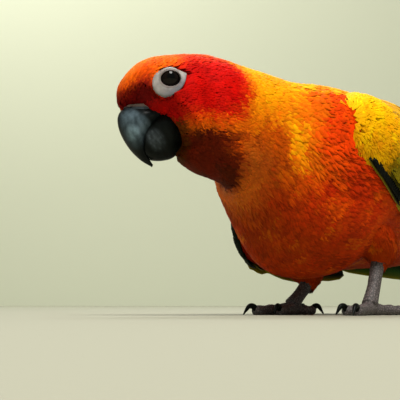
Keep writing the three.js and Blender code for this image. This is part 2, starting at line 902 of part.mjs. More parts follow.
function thigh(sign) {
  const rings = [
    { at: [HIP[0] - 1, HIP[1] - 0.6, HIP[2] + 5], size: [8.2, 11.5] },
    { at: [HIP[0], HIP[1], HIP[2] - 1], size: [8.0, 10.4] },
    { at: [HIP[0] + 1.6, HIP[1] + 0.4, HIP[2] - 5.4], size: [6.2, 7.6] },
    { at: [ANKLE[0], ANKLE[1] - 0.2, ANKLE[2] + 0.6], size: [4.1, 4.5] },
    { at: [ANKLE[0] - 0.4, ANKLE[1], ANKLE[2] - 1.4], size: [3.1, 3.2] },
  ].map(({ at, size: [wide, deep] }) =>
    section(
      onBody(sign, at),
      point(0, -1, 0),
      point(-1, 0, 0.35).normalize(),
      [wide, deep, deep],
      16,
    ),
  );
  return largest(
    loft(smoothRings(rings, 2))
      .subtract(grownBody)
      .subtract(shank(sign, GAP)),
  );
}

const torso = largest(beyond(wholeBody, chestCut));

// The finished group

const finishes = {
  scarlet: new THREE.MeshStandardMaterial({ color: 0xb3200a, roughness: 0.75 }),
  orange: new THREE.MeshStandardMaterial({ color: 0xd9620a, roughness: 0.75 }),
  golden: new THREE.MeshStandardMaterial({ color: 0xe8a20c, roughness: 0.7 }),
  olive: new THREE.MeshStandardMaterial({ color: 0x6f7a1c, roughness: 0.65 }),
  skin: new THREE.MeshStandardMaterial({ color: 0xd2cfc8, roughness: 0.6 }),
  horn: new THREE.MeshStandardMaterial({ color: 0x23262b, roughness: 0.35 }),
  eye: new THREE.MeshStandardMaterial({ color: 0x0c0807, roughness: 0.08 }),
  foot: new THREE.MeshStandardMaterial({ color: 0x4a4644, roughness: 0.6 }),
};

function mesh(name, whole, finish) {
  const made = whole.getMesh();
  const spots = new Float32Array(made.numVert * 3);
  for (let i = 0; i < made.numVert; i++)
    for (let k = 0; k < 3; k++)
      spots[3 * i + k] = made.vertProperties[i * made.numProp + k];
  const geometry = new THREE.BufferGeometry()
    .setAttribute("position", new THREE.BufferAttribute(spots, 3))
    .setIndex(new THREE.BufferAttribute(made.triVerts, 1));
  geometry.computeVertexNormals();
  const piece = new THREE.Mesh(geometry, finishes[finish]);
  piece.name = name;
  return piece;
}

const bird = new THREE.Group();
bird.position.set(...BODY_SHIFT);
bird.add(
  mesh("head", head, "scarlet"),
  mesh("neck", neck, "orange"),
  mesh("torso", torso, "orange"),
  mesh("bill_upper", largest(upperBillCore), "horn"),
  mesh("bill_lower", largest(lowerBill), "horn"),
  mesh("cere", cere, "skin"),
  mesh("eye_left", leftEye.eye, "eye"),
  mesh("eye_right", rightEye.eye, "eye"),
  mesh("eye_ring_left", leftEye.ring, "skin"),
  mesh("eye_ring_right", rightEye.ring, "skin"),
  mesh("wing_left", leftWing, "golden"),
  mesh("wing_right", rightWing, "golden"),
  mesh("tail", tail, "olive"),
  mesh("thigh_left", thigh(1), "orange"),
  mesh("thigh_right", thigh(-1), "orange"),
  mesh("foot_left", foot(1), "foot"),
  mesh("foot_right", foot(-1), "foot"),
);

export default bird;
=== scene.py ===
# A sun conure, life size: a skin in one piece with contour feathers laid over it, then bill, cere, eyes,
# wings, tail and feet. Blender works in metres. The bird's own sizes are written in millimetres and
# turned once, in to_metres.
import math

import bmesh
import bpy
import numpy as np
from mathutils import Matrix, Vector, kdtree, noise


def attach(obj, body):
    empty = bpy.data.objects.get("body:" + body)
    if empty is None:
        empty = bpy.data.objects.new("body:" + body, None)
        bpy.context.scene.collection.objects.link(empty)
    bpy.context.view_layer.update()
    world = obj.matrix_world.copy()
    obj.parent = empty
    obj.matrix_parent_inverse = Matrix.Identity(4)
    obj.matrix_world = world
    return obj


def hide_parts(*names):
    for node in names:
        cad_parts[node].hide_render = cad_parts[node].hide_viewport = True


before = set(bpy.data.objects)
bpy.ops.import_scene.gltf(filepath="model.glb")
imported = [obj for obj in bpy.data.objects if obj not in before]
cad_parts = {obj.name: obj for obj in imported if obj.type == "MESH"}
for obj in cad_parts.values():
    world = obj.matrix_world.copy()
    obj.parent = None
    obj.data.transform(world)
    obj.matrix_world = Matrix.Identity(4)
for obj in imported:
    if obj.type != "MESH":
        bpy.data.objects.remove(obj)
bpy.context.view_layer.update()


# Skin. On the living bird this is thin, pale pink and loose over muscle, with the feathers grown from it.
# Here it is one closed surface from the bill to the tail, with both thighs and both arms. It lies as far
# under the outline as the plumage is deep, and its colours are those of the down that hides it.

HEAD_AT = np.array([-61.0, 20.0, 74.0])  # midway between the eyes, before the footprint is centred
HEAD_YAW, HEAD_PITCH, HEAD_ROLL = 43, 36, 2  # degrees to the right, down, and crown to the right
BODY_LEAN = math.tan(math.radians(13))  # the left side is carried higher than the right
FOOTPRINT_SHIFT = np.array([-62.35, -0.81, 0.0])  # centres the whole bird over the origin
SIDES = 96  # points round each ring of the skin
STEPS = 16  # rings from one section to the next


def to_metres(points):
    return (np.asarray(points, float) + FOOTPRINT_SHIFT) / 1000.0


def turned(vector, axis, degrees):
    return np.array(Matrix.Rotation(math.radians(degrees), 3, Vector(axis)) @ Vector(vector))


def unit(vectors):
    vectors = np.asarray(vectors, float)
    size = np.linalg.norm(vectors, axis=-1, keepdims=True)
    return vectors / np.maximum(size, 1e-12)


forward, left, up = np.array([-1.0, 0, 0]), np.array([0, -1.0, 0]), np.array([0, 0, 1.0])
for axis_name, degrees in (("up", -HEAD_YAW), ("left", HEAD_PITCH), ("forward", HEAD_ROLL)):
    axis = {"up": up, "left": left, "forward": forward}[axis_name].copy()
    forward, left, up = (turned(v, axis, degrees) for v in (forward, left, up))


def in_head(f, u, side=0.0):
    f, u, side = np.broadcast_arrays(f, u, side)
    return HEAD_AT + f[..., None] * forward + u[..., None] * up + side[..., None] * left


def head_place(points):
    """How far forward of, above and to the left of the middle between the eyes each point lies."""
    away = points - HEAD_AT
    return away @ forward, away @ up, away @ left


def lean(points):
    points = np.array(points, float)
    points[..., 2] -= points[..., 1] * BODY_LEAN
    return points


def along(pairs):
    """A smooth curve through (x, y) pairs, for a size that changes along the body."""
    xs, ys = (np.array(column, float) for column in zip(*pairs))
    before, after = np.maximum(np.arange(len(xs)) - 1, 0), np.minimum(np.arange(len(xs)) + 1, len(xs) - 1)
    slope = (ys[after] - ys[before]) / (xs[after] - xs[before])

    def value(x):
        x = np.clip(np.asarray(x, float), xs[0], xs[-1])
        i = np.clip(np.searchsorted(xs, x, side="right") - 1, 0, len(xs) - 2)
        span = xs[i + 1] - xs[i]
        t = (x - xs[i]) / span
        ease = t * t * (3 - 2 * t)
        bend = slope[i] * span * t * (1 - t) ** 2 - slope[i + 1] * span * t * t * (1 - t)
        return ys[i] * (1 - ease) + ys[i + 1] * ease + bend

    return value


def section(centre, side, rise, sizes, sides=SIDES):
    """Points round a section, from its left side over the top. Sizes: to the side, top and bottom, and
    squareness."""
    to_side, to_top, to_bottom, square = sizes
    turn = np.arange(sides) * 2 * math.pi / sides
    c, s = np.cos(turn), np.sin(turn)
    across = np.sign(c) * np.abs(c) ** square * to_side
    tall = np.sign(s) * np.abs(s) ** square * np.where(s > 0, to_top, to_bottom)
    return np.asarray(centre) + across[:, None] * side + tall[:, None] * rise


def smooth_rings(rings, steps=STEPS):
    """Rings that run smoothly through the given ones."""
    rings = np.asarray(rings, float)
    padded = np.concatenate([[2 * rings[0] - rings[1]], rings, [2 * rings[-1] - rings[-2]]])
    rows = []
    for i in range(len(rings) - 1):
        a, b, c, d = padded[i:i + 4]
        for t in np.arange(steps) / steps:
            rows.append(b + 0.5 * t * (c - a + t * (2 * a - 5 * b + 4 * c - d + t * (3 * (b - c) + d - a))))
    return np.array(rows + [rings[-1]])


# Top and bottom of each head section (forward, up), the share above the widest line, half width,
# squareness, depth of plumage.
HEAD_STATIONS = [
    ((17.2, 1.4), (10.5, -18.5), 0.42, 4.8, 1, 0.4),
    ((15.9, 5.2), (10.6, -21.3), 0.44, 8.4, 1, 0.6),
    ((11.8, 9.6), (9.8, -24.4), 0.42, 11.8, 1, 0.9),
    ((2.6, 11.1), (8.0, -29.2), 0.4, 14.4, 0.93, 1.1),
    ((-8.8, 5.6), (5.0, -34.0), 0.36, 15.6, 0.93, 1.4),
    ((-19.4, -1.3), (3.2, -38.5), 0.38, 17.2, 0.95, 1.8),
]
# Place, turn and rise of each body section, its sizes, and the depth of plumage.
BODY_STATIONS = [
    ((-32, 10, 63), 20, 0, (19.5, 20.6, 23.2, 0.95), 2.1),
    ((-15, 4, 56), 8, 3, (23.8, 19.9, 38.2, 0.8), 2.3),
    ((3, 0, 49), 0, 8, (25.2, 23.8, 36.0, 0.84), 2.4),
    ((21, 0, 44), 0, 18, (24.6, 23.4, 29.0, 0.9), 2.4),
    ((40, 0, 37), 0, 20, (20.0, 19.6, 20.5, 1), 2.2),
    ((58, 0, 31.5), 0, 15, (13.6, 13.0, 13.2, 1), 1.8),
    ((73, 0, 28.6), 0, 9, (9.6, 7.4, 6.8, 1), 1.3),
]


def body_rings(share):
    """The body's rings, with a share of the plumage's depth taken off."""
    rings = []
    for top, bottom, crown, half, square, depth in HEAD_STATIONS:
        high, low = in_head(*top), in_head(*bottom)
        tall = np.linalg.norm(high - low)
        centre = high + (low - high) * crown
        sizes = np.array([half, tall * crown, tall * (1 - crown)]) - depth * share
        rings.append(section(centre, left, unit(high - low), (*sizes, square)))
    for place, turn, rise, (side, top, bottom, square), depth in BODY_STATIONS:
        out = turned((0, -1, 0), (0, 0, 1), -turn)
        high = turned((0, 0, 1), out, -rise)
        sizes = np.array([side, top, bottom]) - depth * share
        rings.append(lean(section(place, out, high, (*sizes, square))))
    return smooth_rings(rings)


def hex_colour(text):
    """An sRGB hex colour as linear red, green, blue."""
    parts = np.array([int(text[i:i + 2], 16) for i in (1, 3, 5)]) / 255
    return np.where(parts <= 0.04045, parts / 12.92, ((parts + 0.055) / 1.055) ** 2.4)


def blend(base, colour, amount):
    """Base colours moved towards another by an amount from 0 to 1."""
    amount = np.clip(amount, 0, 1)[..., None]
    return base * (1 - amount) + hex_colour(colour) * amount


def painted(ground, *marks):
    """A hex colour with marks laid over it in turn, each a hex colour and how much of it shows."""
    shape = np.broadcast_shapes(*(np.shape(amount) for _, amount in marks))
    colours = np.broadcast_to(hex_colour(ground), (*shape, 3))
    for colour, amount in marks:
        colours = blend(colours, colour, amount)
    return colours


def fade(value, start, end):
    """0 up to start, 1 from end on, and a smooth rise between them."""
    t = np.clip((value - start) / (end - start), 0, 1)
    return t * t * (3 - 2 * t)


def patches(points, size, seed):
    """Soft random patches of about the given size in millimetres, from -1 to 1."""
    flat = np.asarray(points, float).reshape(-1, 3) / size + seed
    values = [noise.noise(Vector(p)) for p in flat]
    return np.array(values).reshape(np.shape(points)[:-1]) * 1.8


def plumage_colours(points, station, turn):
    """The bird's markings, with some painted shade and painted light among them. Points are in millimetres,
    station counts the sections from the bill back, and turn is the angle round the body, from the left
    side over the top."""
    f, u, _ = head_place(points)
    top = np.sin(turn)
    large, small = patches(points, 15, 3.1), patches(points, 5, 8.7)
    ragged = top + 0.17 * large + 0.07 * small
    golden = fade(small + large, 0.3, 1.0) * fade(top, -0.5, -0.05) * fade(station, 5.4, 5.9)
    flank = fade(station, 6.1, 6.6) * (1 - fade(station, 7.6, 8.6)) * (1 - fade(top, -0.05, 0.15))
    shoulder = fade(top, -0.3, 0.05) * (1 - fade(top, 0.5, 0.72))
    chin_shade = fade(-ragged - 0.08 * (station - 4), 0.35, 0.58) * (1 - fade(station + 0.5 * ragged, 4.2, 5.1))
    # painted light: the fold between throat and breast is painted lighter against its own shadow
    fold_light = fade(-top, 0.3, 0.7) * fade(station, 4.7, 5.2) * (1 - fade(station, 5.5, 6.1))
    head = 1 - fade(station + 0.2 * large, 4.3, 5.2)
    # distance from the middle of the red face, which is 1 at the edge of its oval
    back, low = -0.78 * (f + 5.5) - 0.62 * (u + 6.5), 0.62 * (f + 5.5) - 0.78 * (u + 6.5)
    away = np.hypot(back / 11.6, low / 9.4) + 0.08 * small + 0.05 * large
    lores = fade(6.2 - u + 0.5 * small, 0.0, 3.6) * fade(f, 4.0, 8.6) * fade(station, 0.0, 0.5)
    by_bill = 1 - fade(past_edge(BARE_EDGE, f, u)[0] + 0.3 * small, 0.4, 1.7)
    colours = painted(
        "#B43400",
        # neck and body, from the brown red breast over orange sides to the golden nape and back; the brown
        # of the breast, the dark patches low on the sides and the brown under the neck are in part painted
        # shade
        ("#D05400", fade(ragged, -0.75, -0.35)),
        ("#F88200", fade(ragged, -0.32, -0.05)),
        ("#FF9C00", fade(ragged, 0.05, 0.4)),
        ("#FFB400", fade(ragged, 0.5, 0.9)),
        ("#FFB000", 0.8 * golden),
        ("#E87E00", 0.45 * fade(small, 0.4, 1.0) * fade(station, 5.6, 6.4)),
        ("#842400", 0.6 * fade(-small + 0.4 * large, 0.1, 0.9) * fade(-top, 0.05, 0.4)),
        ("#8A2E00", 0.6 * fade(-top, 0.8, 1.0) * (1 - fade(station, 6.2, 7.2))),
        # red at the side of the breast, in part painted shade under the wing's edge, and red before the
        # shoulder
        ("#C42600", 0.85 * flank * fade(top, -0.9, -0.4)),
        ("#F25600", 0.6 * shoulder * fade(station, 5.9, 6.4)),
        ("#DE2A00", 0.8 * shoulder * fade(station + 0.12 * small, 6.25, 6.6)),
        # vent and rump
        ("#D8A400", fade(station, 10.2, 11.6) * fade(-top, -0.2, 0.6)),
        ("#F0B000", fade(station, 9.5, 11.5) * fade(top, 0.2, 0.8)),
        # chin and throat, a brownish black red that is in part painted shade, and painted light in orange
        # over the fold behind them, against the fold's shadow
        ("#5E1600", chin_shade),
        ("#3C1400", 0.7 * chin_shade * fade(small, -0.2, 0.7)),
        ("#D86A18", 0.7 * fold_light),
        # head: orange crown and cheeks, a red face round and behind the eye, dark lores
        ("#F47400", head * fade(top, -0.5, -0.25)),
        ("#F25C00", head * (1 - fade(away, 1.05, 1.55))),
        ("#DC2C00", 1 - fade(away, 0.85, 1.32)),
        ("#C80600", 1 - fade(away, 0.6, 1.05)),
        # orange along the forehead's upper front edge, in part a painted rim of light
        ("#EC4A00", head * fade(f, -6.0, 1.0) * fade(u, 4.0, 8.5) * fade(1 - top, 0.02, 0.25)),
        ("#C81800", 0.7 * head * fade(f, 2.0, 7.0) * (1 - fade(np.abs(u + 0.8 * small), 4.2, 8.6))),
        ("#740A06", lores * (1 - fade(-u, 16.0, 20.0))),
        ("#B00600", head * fade(-u, 1.0, 5.0) * fade(f, -1.0, 5.5) * (1 - fade(-u, 10.0, 15.0))),
        # olive brown along the lower bill's edge
        ("#452400", 0.85 * by_bill * fade(-u, 10.0, 13.0)),
    )
    shade = 1 + 0.09 * small + 0.06 * large
    return np.clip(colours * shade[..., None], 0, 1)


def surface(points, closed, colours=None, chart=(0.0, 1.0, 0.0, 1.0)):
    """A sheet of points (rows along the lie, columns round) with its normals, colours and place on the UV
    map."""
    points = np.asarray(points, float)
    if closed:
        round_way = np.roll(points, -1, 1) - np.roll(points, 1, 1)
    else:
        round_way = np.gradient(points, axis=1) * 2
    normals = unit(np.cross(round_way, np.gradient(points, axis=0)))
    return {"points": points, "normals": normals, "closed": closed, "colours": colours, "chart": chart}


def outward(sheet):
    """Turns the normals away from the middle of each row."""
    middle = sheet["points"].mean(axis=1, keepdims=True)
    if ((sheet["points"] - middle) * sheet["normals"]).sum() < 0:
        sheet["normals"] = -sheet["normals"]
    return sheet


# The bill's own outline, because the face tapers to meet it: top and lower edge of each section (forward,
# up) and half width. The bare edge is where feathers stop.
UPPER_BILL = [(13.0, 1.6, 5.6, -8.6, 6.4), (16.2, 2.0, 8.2, -8.6, 7.3), (18.9, 0.7, 11.2, -8.8, 7.4),
              (20.7, -2.4, 14.0, -9.6, 6.7), (21.6, -6.4, 16.2, -11.0, 5.5),
              (21.7, -10.8, 17.9, -13.4, 3.9), (20.9, -15.0, 18.5, -16.1, 2.1),
              (19.3, -18.7, 18.6, -18.3, 0.7)]
LOWER_BILL = [(4.6, -6.8, 5.0, -17.0, 6.0), (7.4, -5.6, 7.8, -19.2, 7.3), (11.6, -5.8, 12.0, -20.1, 7.2),
              (15.4, -7.8, 15.4, -18.9, 6.2), (18.2, -11.0, 17.8, -17.2, 4.6),
              (19.2, -13.6, 18.9, -15.8, 2.6)]
BILL_RIDGE = 0.3  # how much narrower a section is at its ridge
BILL_SIDES = 48
BARE_EDGE = np.array([(17.4, 2.6), (14.6, 1.9), (12.0, 1.0), (10.7, -1.3), (10.0, -4.1), (8.9, -6.3),
                      (7.2, -8.2), (6.5, -10.6), (6.2, -13.5), (6.5, -16.4), (8.2, -19.2), (11.0, -20.6),
                      (15.0, -21.5), (20.0, -21.0), (25.0, -12.0), (24.0, 0.0), (19.5, 2.8)])


def bill_rings(rows, ridge_up, grow=0.0, steps=10):
    """Rings round the bill's sections, grown by some millimetres, with the ridge above or below."""
    rings = []
    turn = np.arange(BILL_SIDES) * 2 * math.pi / BILL_SIDES
    for top_f, top_u, low_f, low_u, half in rows:
        top, low = in_head(top_f, top_u), in_head(low_f, low_u)
        tall = np.linalg.norm(top - low) / 2 + grow
        narrow = 1 - BILL_RIDGE * (np.sin(turn) if ridge_up else -np.sin(turn))
        across = np.cos(turn) * (half + grow) * narrow
        rise = (np.sin(turn) * tall)[:, None] * unit(top - low)
        rings.append((top + low) / 2 + across[:, None] * left + rise)
    return smooth_rings(rings, steps)


def past_edge(outline, f, u):
    """Distance of points from a closed outline, below 0 inside it, and the nearest place on it."""
    hit = np.zeros(np.shape(f), bool)
    gap = np.full(np.shape(f), 1e9)
    near_f, near_u = np.zeros(np.shape(f)), np.zeros(np.shape(f))
    for (f1, u1), (f2, u2) in zip(outline, np.roll(outline, -1, 0)):
        crosses = (u1 > u) != (u2 > u)
        hit ^= crosses & (f < (f2 - f1) * (u - u1) / (u2 - u1 + 1e-12) + f1)
        t = np.clip(((f - f1) * (f2 - f1) + (u - u1) * (u2 - u1)) / ((f2 - f1) ** 2 + (u2 - u1) ** 2), 0, 1)
        edge_f, edge_u = f1 + t * (f2 - f1), u1 + t * (u2 - u1)
        away = np.hypot(f - edge_f, u - edge_u)
        closer = away < gap
        gap = np.where(closer, away, gap)
        near_f, near_u = np.where(closer, edge_f, near_f), np.where(closer, edge_u, near_u)
    return np.where(hit, -gap, gap), near_f, near_u


both_bills = np.concatenate([bill_rings(UPPER_BILL, True), bill_rings(LOWER_BILL, False)]).reshape(-1, 3)
bill_table = np.stack(head_place(both_bills), 1)
bill_table = bill_table[bill_table[:, 2] > 0]


def bill_side(f, u):
    """How far out the bill's side stands at a place beside it."""
    gap = np.hypot(f[..., None] - bill_table[:, 0], u[..., None] - bill_table[:, 1])
    weight = np.exp(-((gap / 0.9) ** 2)) * np.exp(0.35 * bill_table[:, 2]) + 1e-12
    return (weight * bill_table[:, 2]).sum(-1) / weight.sum(-1)


FACE_SLOPE = 0.95  # how fast the face widens behind the bare edge


def fit_to_bill(points):
    """Points of the face drawn in so that it tapers to the bill and passes under its edge."""
    flat = np.array(points, float).reshape(-1, 3)
    f, u, side = head_place(flat)
    near = np.nonzero((f > 0) & (f < 24) & (u < 6) & (u > -28) & (np.abs(side) > 2))[0]
    gap, edge_f, edge_u = past_edge(BARE_EDGE, f[near], u[near])
    parts = np.array_split(np.arange(len(near)), max(len(near) // 2000, 1))
    width = np.concatenate([bill_side(edge_f[part], edge_u[part]) for part in parts])
    beside = width + 0.15 + FACE_SLOPE * gap + 0.09 * gap ** 2
    most = np.where(gap > 0, beside, np.maximum(width - 0.7 + 0.8 * gap, 1.5))
    over = np.abs(side[near]) - most
    pull = np.where(over > 0, over, 0) * np.sign(side[near])
    flat[near] -= pull[:, None] * left
    return flat.reshape(np.shape(points))


skin_rings = fit_to_bill(body_rings(1))
row_station = np.arange(len(skin_rings)) / STEPS
row_turn = np.arange(SIDES) * 2 * math.pi / SIDES
skin_colours = plumage_colours(skin_rings, row_station[:, None], row_turn)
body_sheet = outward(surface(skin_rings, True, skin_colours, (0.02, 0.60, 0.02, 0.98)))


def mesh_object(name, points, faces):
    """A smooth mesh from points in millimetres. All of its faces have the same number of corners."""
    faces = np.asarray(faces, np.int32)
    mesh = bpy.data.meshes.new(name)
    mesh.vertices.add(len(points))
    mesh.vertices.foreach_set("co", to_metres(points).ravel())
    mesh.loops.add(faces.size)
    mesh.loops.foreach_set("vertex_index", faces.ravel())
    mesh.polygons.add(len(faces))
    mesh.polygons.foreach_set("loop_start", np.arange(len(faces)) * faces.shape[1])
    mesh.update(calc_edges=True)
    mesh.polygons.foreach_set("use_smooth", [True] * len(faces))
    made = bpy.data.objects.new(name, mesh)
    bpy.context.scene.collection.objects.link(made)
    return made


def tube_faces(rows, sides):
    """Quads of a tube of rings."""
    r, k = np.meshgrid(np.arange(rows - 1), np.arange(sides), indexing="ij")
    a = (r * sides + k).ravel()
    b = (r * sides + (k + 1) % sides).ravel()
    return np.stack([a, b, b + sides, a + sides], 1)


def wind_outward(piece):
    """Turns every face of a closed piece outward and shades it smooth."""
    work = bmesh.new()
    work.from_mesh(piece.data)
    bmesh.ops.recalc_face_normals(work, faces=work.faces)
    for face in work.faces:
        face.smooth = True
    work.to_mesh(piece.data)
    work.free()


def tube(name, rings):
    """A closed tube: quads along it and a fan at each end."""
    rows, sides = rings.shape[:2]
    body = mesh_object(name, rings.reshape(-1, 3), tube_faces(rows, sides))
    work = bmesh.new()
    work.from_mesh(body.data)
    work.verts.ensure_lookup_table()
    for ring in (work.verts[:sides], work.verts[(rows - 1) * sides:rows * sides]):
        hub = work.verts.new(sum((v.co for v in ring), Vector()) / sides)
        for k in range(sides):
            work.faces.new((ring[k], ring[(k + 1) % sides], hub))
    work.to_mesh(body.data)
    work.free()
    wind_outward(body)
    return body


def join(pieces):
    """Joins pieces into the first of them."""
    with bpy.context.temp_override(object=pieces[0], active_object=pieces[0], selected_objects=pieces,
                                   selected_editable_objects=pieces):
        bpy.ops.object.join()
    return pieces[0]


def millimetres(piece):
    """A piece's vertices, in the bird's own millimetres."""
    spots = np.empty(len(piece.data.vertices) * 3)
    piece.data.vertices.foreach_get("co", spots)
    return spots.reshape(-1, 3) * 1000 - FOOTPRINT_SHIFT


def corner_vertices(piece):
    """The vertex at each corner of a piece's faces."""
    corners = np.empty(len(piece.data.loops), np.int32)
    piece.data.loops.foreach_get("vertex_index", corners)
    return corners


def settle(piece, kind, **settings):
    """Adds one modifier to a piece and applies it."""
    modifier = piece.modifiers.new(kind.title(), kind)
    for name, value in settings.items():
        setattr(modifier, name, value)
    bpy.context.view_layer.objects.active = piece
    with bpy.context.temp_override(object=piece, active_object=piece, selected_objects=[piece]):
        bpy.ops.object.modifier_apply(modifier=modifier.name)


HIP, ANKLE = np.array([11.0, 15.0, 23.0]), np.array([14.0, 15.0, 14.8])  # back, out, height
THIGH_PLUMAGE = 1.5  # millimetres deep


def thigh_rings(sign):
    """A thigh's rings under its plumage, on the left where sign is 1."""
    places = [
        (HIP + (-1, -0.6, 5), 8.2, 11.5),
        (HIP + (0, 0, -1), 8.0, 10.4),
        (HIP + (1.6, 0.4, -5.4), 6.2, 7.6),
        (ANKLE + (0, -0.2, 0.6), 4.1, 4.5),
        (ANKLE + (-0.4, 0, -1.4), 3.1, 3.2),
    ]
    ahead = unit(np.array([-1, 0, 0.35]))
    out = np.array([0, -1.0, 0])
    rings = []
    for (x, y, z), wide, deep in places:
        wide, deep = wide - THIGH_PLUMAGE, deep - THIGH_PLUMAGE
        rings.append(lean((x, -sign * y, z)) + section((0, 0, 0), out, ahead, (wide, deep, deep, 1), 32))
    return smooth_rings(rings, 6)


# The rounded form that carries the folded wings, by distance back: the height of its middle, its reach to
# the side and up, then the degrees round it that a wing covers, the thickness of a wing's flesh, and how
# far a slipped one hangs.
carrier_height = along([(-18, 58.5), (-12, 56), (5, 49.6), (28, 41.6), (50, 34.2), (70, 30), (90, 27),
                        (120, 23), (156, 19)])
carrier_side = along([(-18, 23.5), (-8, 26.2), (5, 27.4), (28, 26.6), (50, 22.8), (70, 17.6), (90, 14.2),
                      (120, 11.6), (156, 9.4)])
carrier_top = along([(-18, 18), (-8, 20.6), (5, 23), (28, 25.4), (50, 22.4), (70, 16.8), (90, 12.6),
                     (120, 9), (156, 6)])
wing_low = along([(-17, 8), (-16, -12), (-13, -24), (-8, -32), (0, -37), (12, -38), (30, -33), (50, -25),
                  (66, -14)])
wing_high = along([(-17, 16), (-15, 34), (-11, 49), (-3, 61), (10, 67), (30, 69), (66, 78)])
wing_thick = along([(-17, 0.3), (-14, 2.6), (-8, 4), (4, 4.6), (30, 3.4), (50, 2.2), (66, 1.0)])
WING_SLIP = 5  # degrees that the right wing has slipped down
wing_droop = along([(-17, 1.2), (-7, 1.2), (2, 0.92), (12, 0.56), (26, 0.24), (44, 0.05), (60, 0)])


def on_wing(x, angle, lift, sign):
    """A point of a wing: distance back, degrees up round the body, and height off the surface that
    carries it."""
    x, angle, lift = np.broadcast_arrays(np.asarray(x, float), angle, lift)
    turn = np.radians(angle)
    wide, tall = carrier_side(x), carrier_top(x)
    out_y, out_z = np.cos(turn) / wide, np.sin(turn) / tall
    size = np.hypot(out_y, out_z)
    y = wide * np.cos(turn) + lift * out_y / size
    z = tall * np.sin(turn) + lift * out_z / size
    if sign < 0:
        reach = np.hypot(y / wide, z / tall)
        turn = np.arctan2(z / tall, y / wide) - math.radians(WING_SLIP)
        below = np.maximum(0, -reach * tall * np.sin(turn)) * wing_droop(x)
        y = reach * wide * np.cos(turn) + below * 0.55
        z = reach * tall * np.sin(turn) - below
    return lean(np.stack([x, -sign * y, carrier_height(x) + z], -1))


def pad_lift(x, angle):
    """How high the wing's own flesh stands off the surface that carries it."""
    share = (angle - wing_low(x)) / (wing_high(x) - wing_low(x))
    return wing_thick(x) * (1 - np.minimum(np.abs(2 * share - 1), 1) ** 3) - 0.2


COVERT_DEPTH = 1.1  # millimetres of small coverts over the wing's flesh


def arm_solid(sign):
    """The wing's flesh, as a closed lens between the body and the coverts."""
    xs = np.linspace(-15.8, 58, 34)
    shares = np.linspace(0.04, 0.96, 22)
    x, share = np.meshgrid(xs, shares, indexing="ij")
    angle = wing_low(x) + (wing_high(x) - wing_low(x)) * share
    over = on_wing(x, angle, pad_lift(x, angle) - COVERT_DEPTH, sign)
    under = on_wing(x, angle, -4.5, sign)
    return tube(f"arm_{sign}", np.concatenate([over, under[:, ::-1]], axis=1))


skin = tube("skin", skin_rings)
thighs = [tube(f"thigh_{sign}", thigh_rings(sign)) for sign in (1, -1)]
arms = [arm_solid(sign) for sign in (1, -1)]
skin = join([skin, *thighs, *arms])
SKIN_GRAIN = 0.0011  # the remesh's cell, in metres
settle(skin, "REMESH", mode="VOXEL", voxel_size=SKIN_GRAIN, use_smooth_shade=True)

skin_spots = fit_to_bill(millimetres(skin))
# the sockets, sunk clear of the front of each eye
f, u, side = head_place(skin_spots)
SOCKET_FLOOR, SOCKET_WIDE = 11.4, 3.4  # millimetres out from the head's middle, and its radius
socket = SOCKET_FLOOR + 2.2 * np.maximum(np.hypot(f, u) - SOCKET_WIDE, 0)
proud = np.where(np.hypot(f, u) < 6, np.maximum(np.abs(side) - socket, 0), 0)
skin_spots -= (proud * np.sign(side))[:, None] * left
skin.data.vertices.foreach_set("co", to_metres(skin_spots).ravel())

skin_search = kdtree.KDTree(skin_rings[..., 0].size)
for number, spot in enumerate(skin_rings.reshape(-1, 3)):
    skin_search.insert(spot, number)
skin_search.balance()


def beside_skin(points):
    """Row and column of the ring point of the skin that is nearest to each point."""
    return np.array([divmod(skin_search.find(p)[1], SIDES) for p in points])


where = beside_skin(skin_spots)


def tint(piece, colours):
    """Stores a colour at each vertex, for the material to read."""
    layer = piece.data.color_attributes.new("tint", "FLOAT_COLOR", "POINT")
    full = np.ones((len(colours), 4))
    full[:, :3] = colours
    layer.data.foreach_set("color", full.ravel())


def bake_map(piece, spots):
    """The OFBake UV map, from one place for each corner."""
    layer = piece.data.uv_layers.new(name="OFBake")
    layer.data.foreach_set("uv", np.asarray(spots, float).ravel())


# the skin takes the plumage's colours, painted shade and painted light among them
tint(skin, skin_colours[where[:, 0], where[:, 1]])
corners = corner_vertices(skin)
starts = np.empty(len(skin.data.polygons), np.int32)
skin.data.polygons.foreach_get("loop_start", starts)
turns = where[corners, 1] / SIDES
# a face that spans the seam keeps all of its corners on one side of it
first = np.repeat(turns[starts], np.diff(np.append(starts, len(corners))))
turns = turns + (first - turns > 0.5) - (turns - first > 0.5)
u0, u1, v0, v1 = body_sheet["chart"]
bake_map(skin, np.stack([u0 + (u1 - u0) * turns, v0 + (v1 - v0) * where[corners, 0] / len(skin_rings)], 1))


def add(tree, kind, settings=(), **links):
    """Adds a node: settings by property or socket name, links by socket name with _ for a space, or by at
    and the socket's number."""
    node = tree.nodes.new(kind)
    for name, value in dict(settings).items():
        if isinstance(name, str) and hasattr(node, name):
            setattr(node, name, value)
        else:
            node.inputs[name].default_value = value
    for name, source in links.items():
        socket = node.inputs[int(name[2:])] if name.startswith("at") else node.inputs[name.replace("_", " ")]
        tree.links.new(source, socket)
    return node


def material(name):
    made = bpy.data.materials.new(name)
    made.use_nodes = True
    made.node_tree.nodes.clear()
    return made, made.node_tree


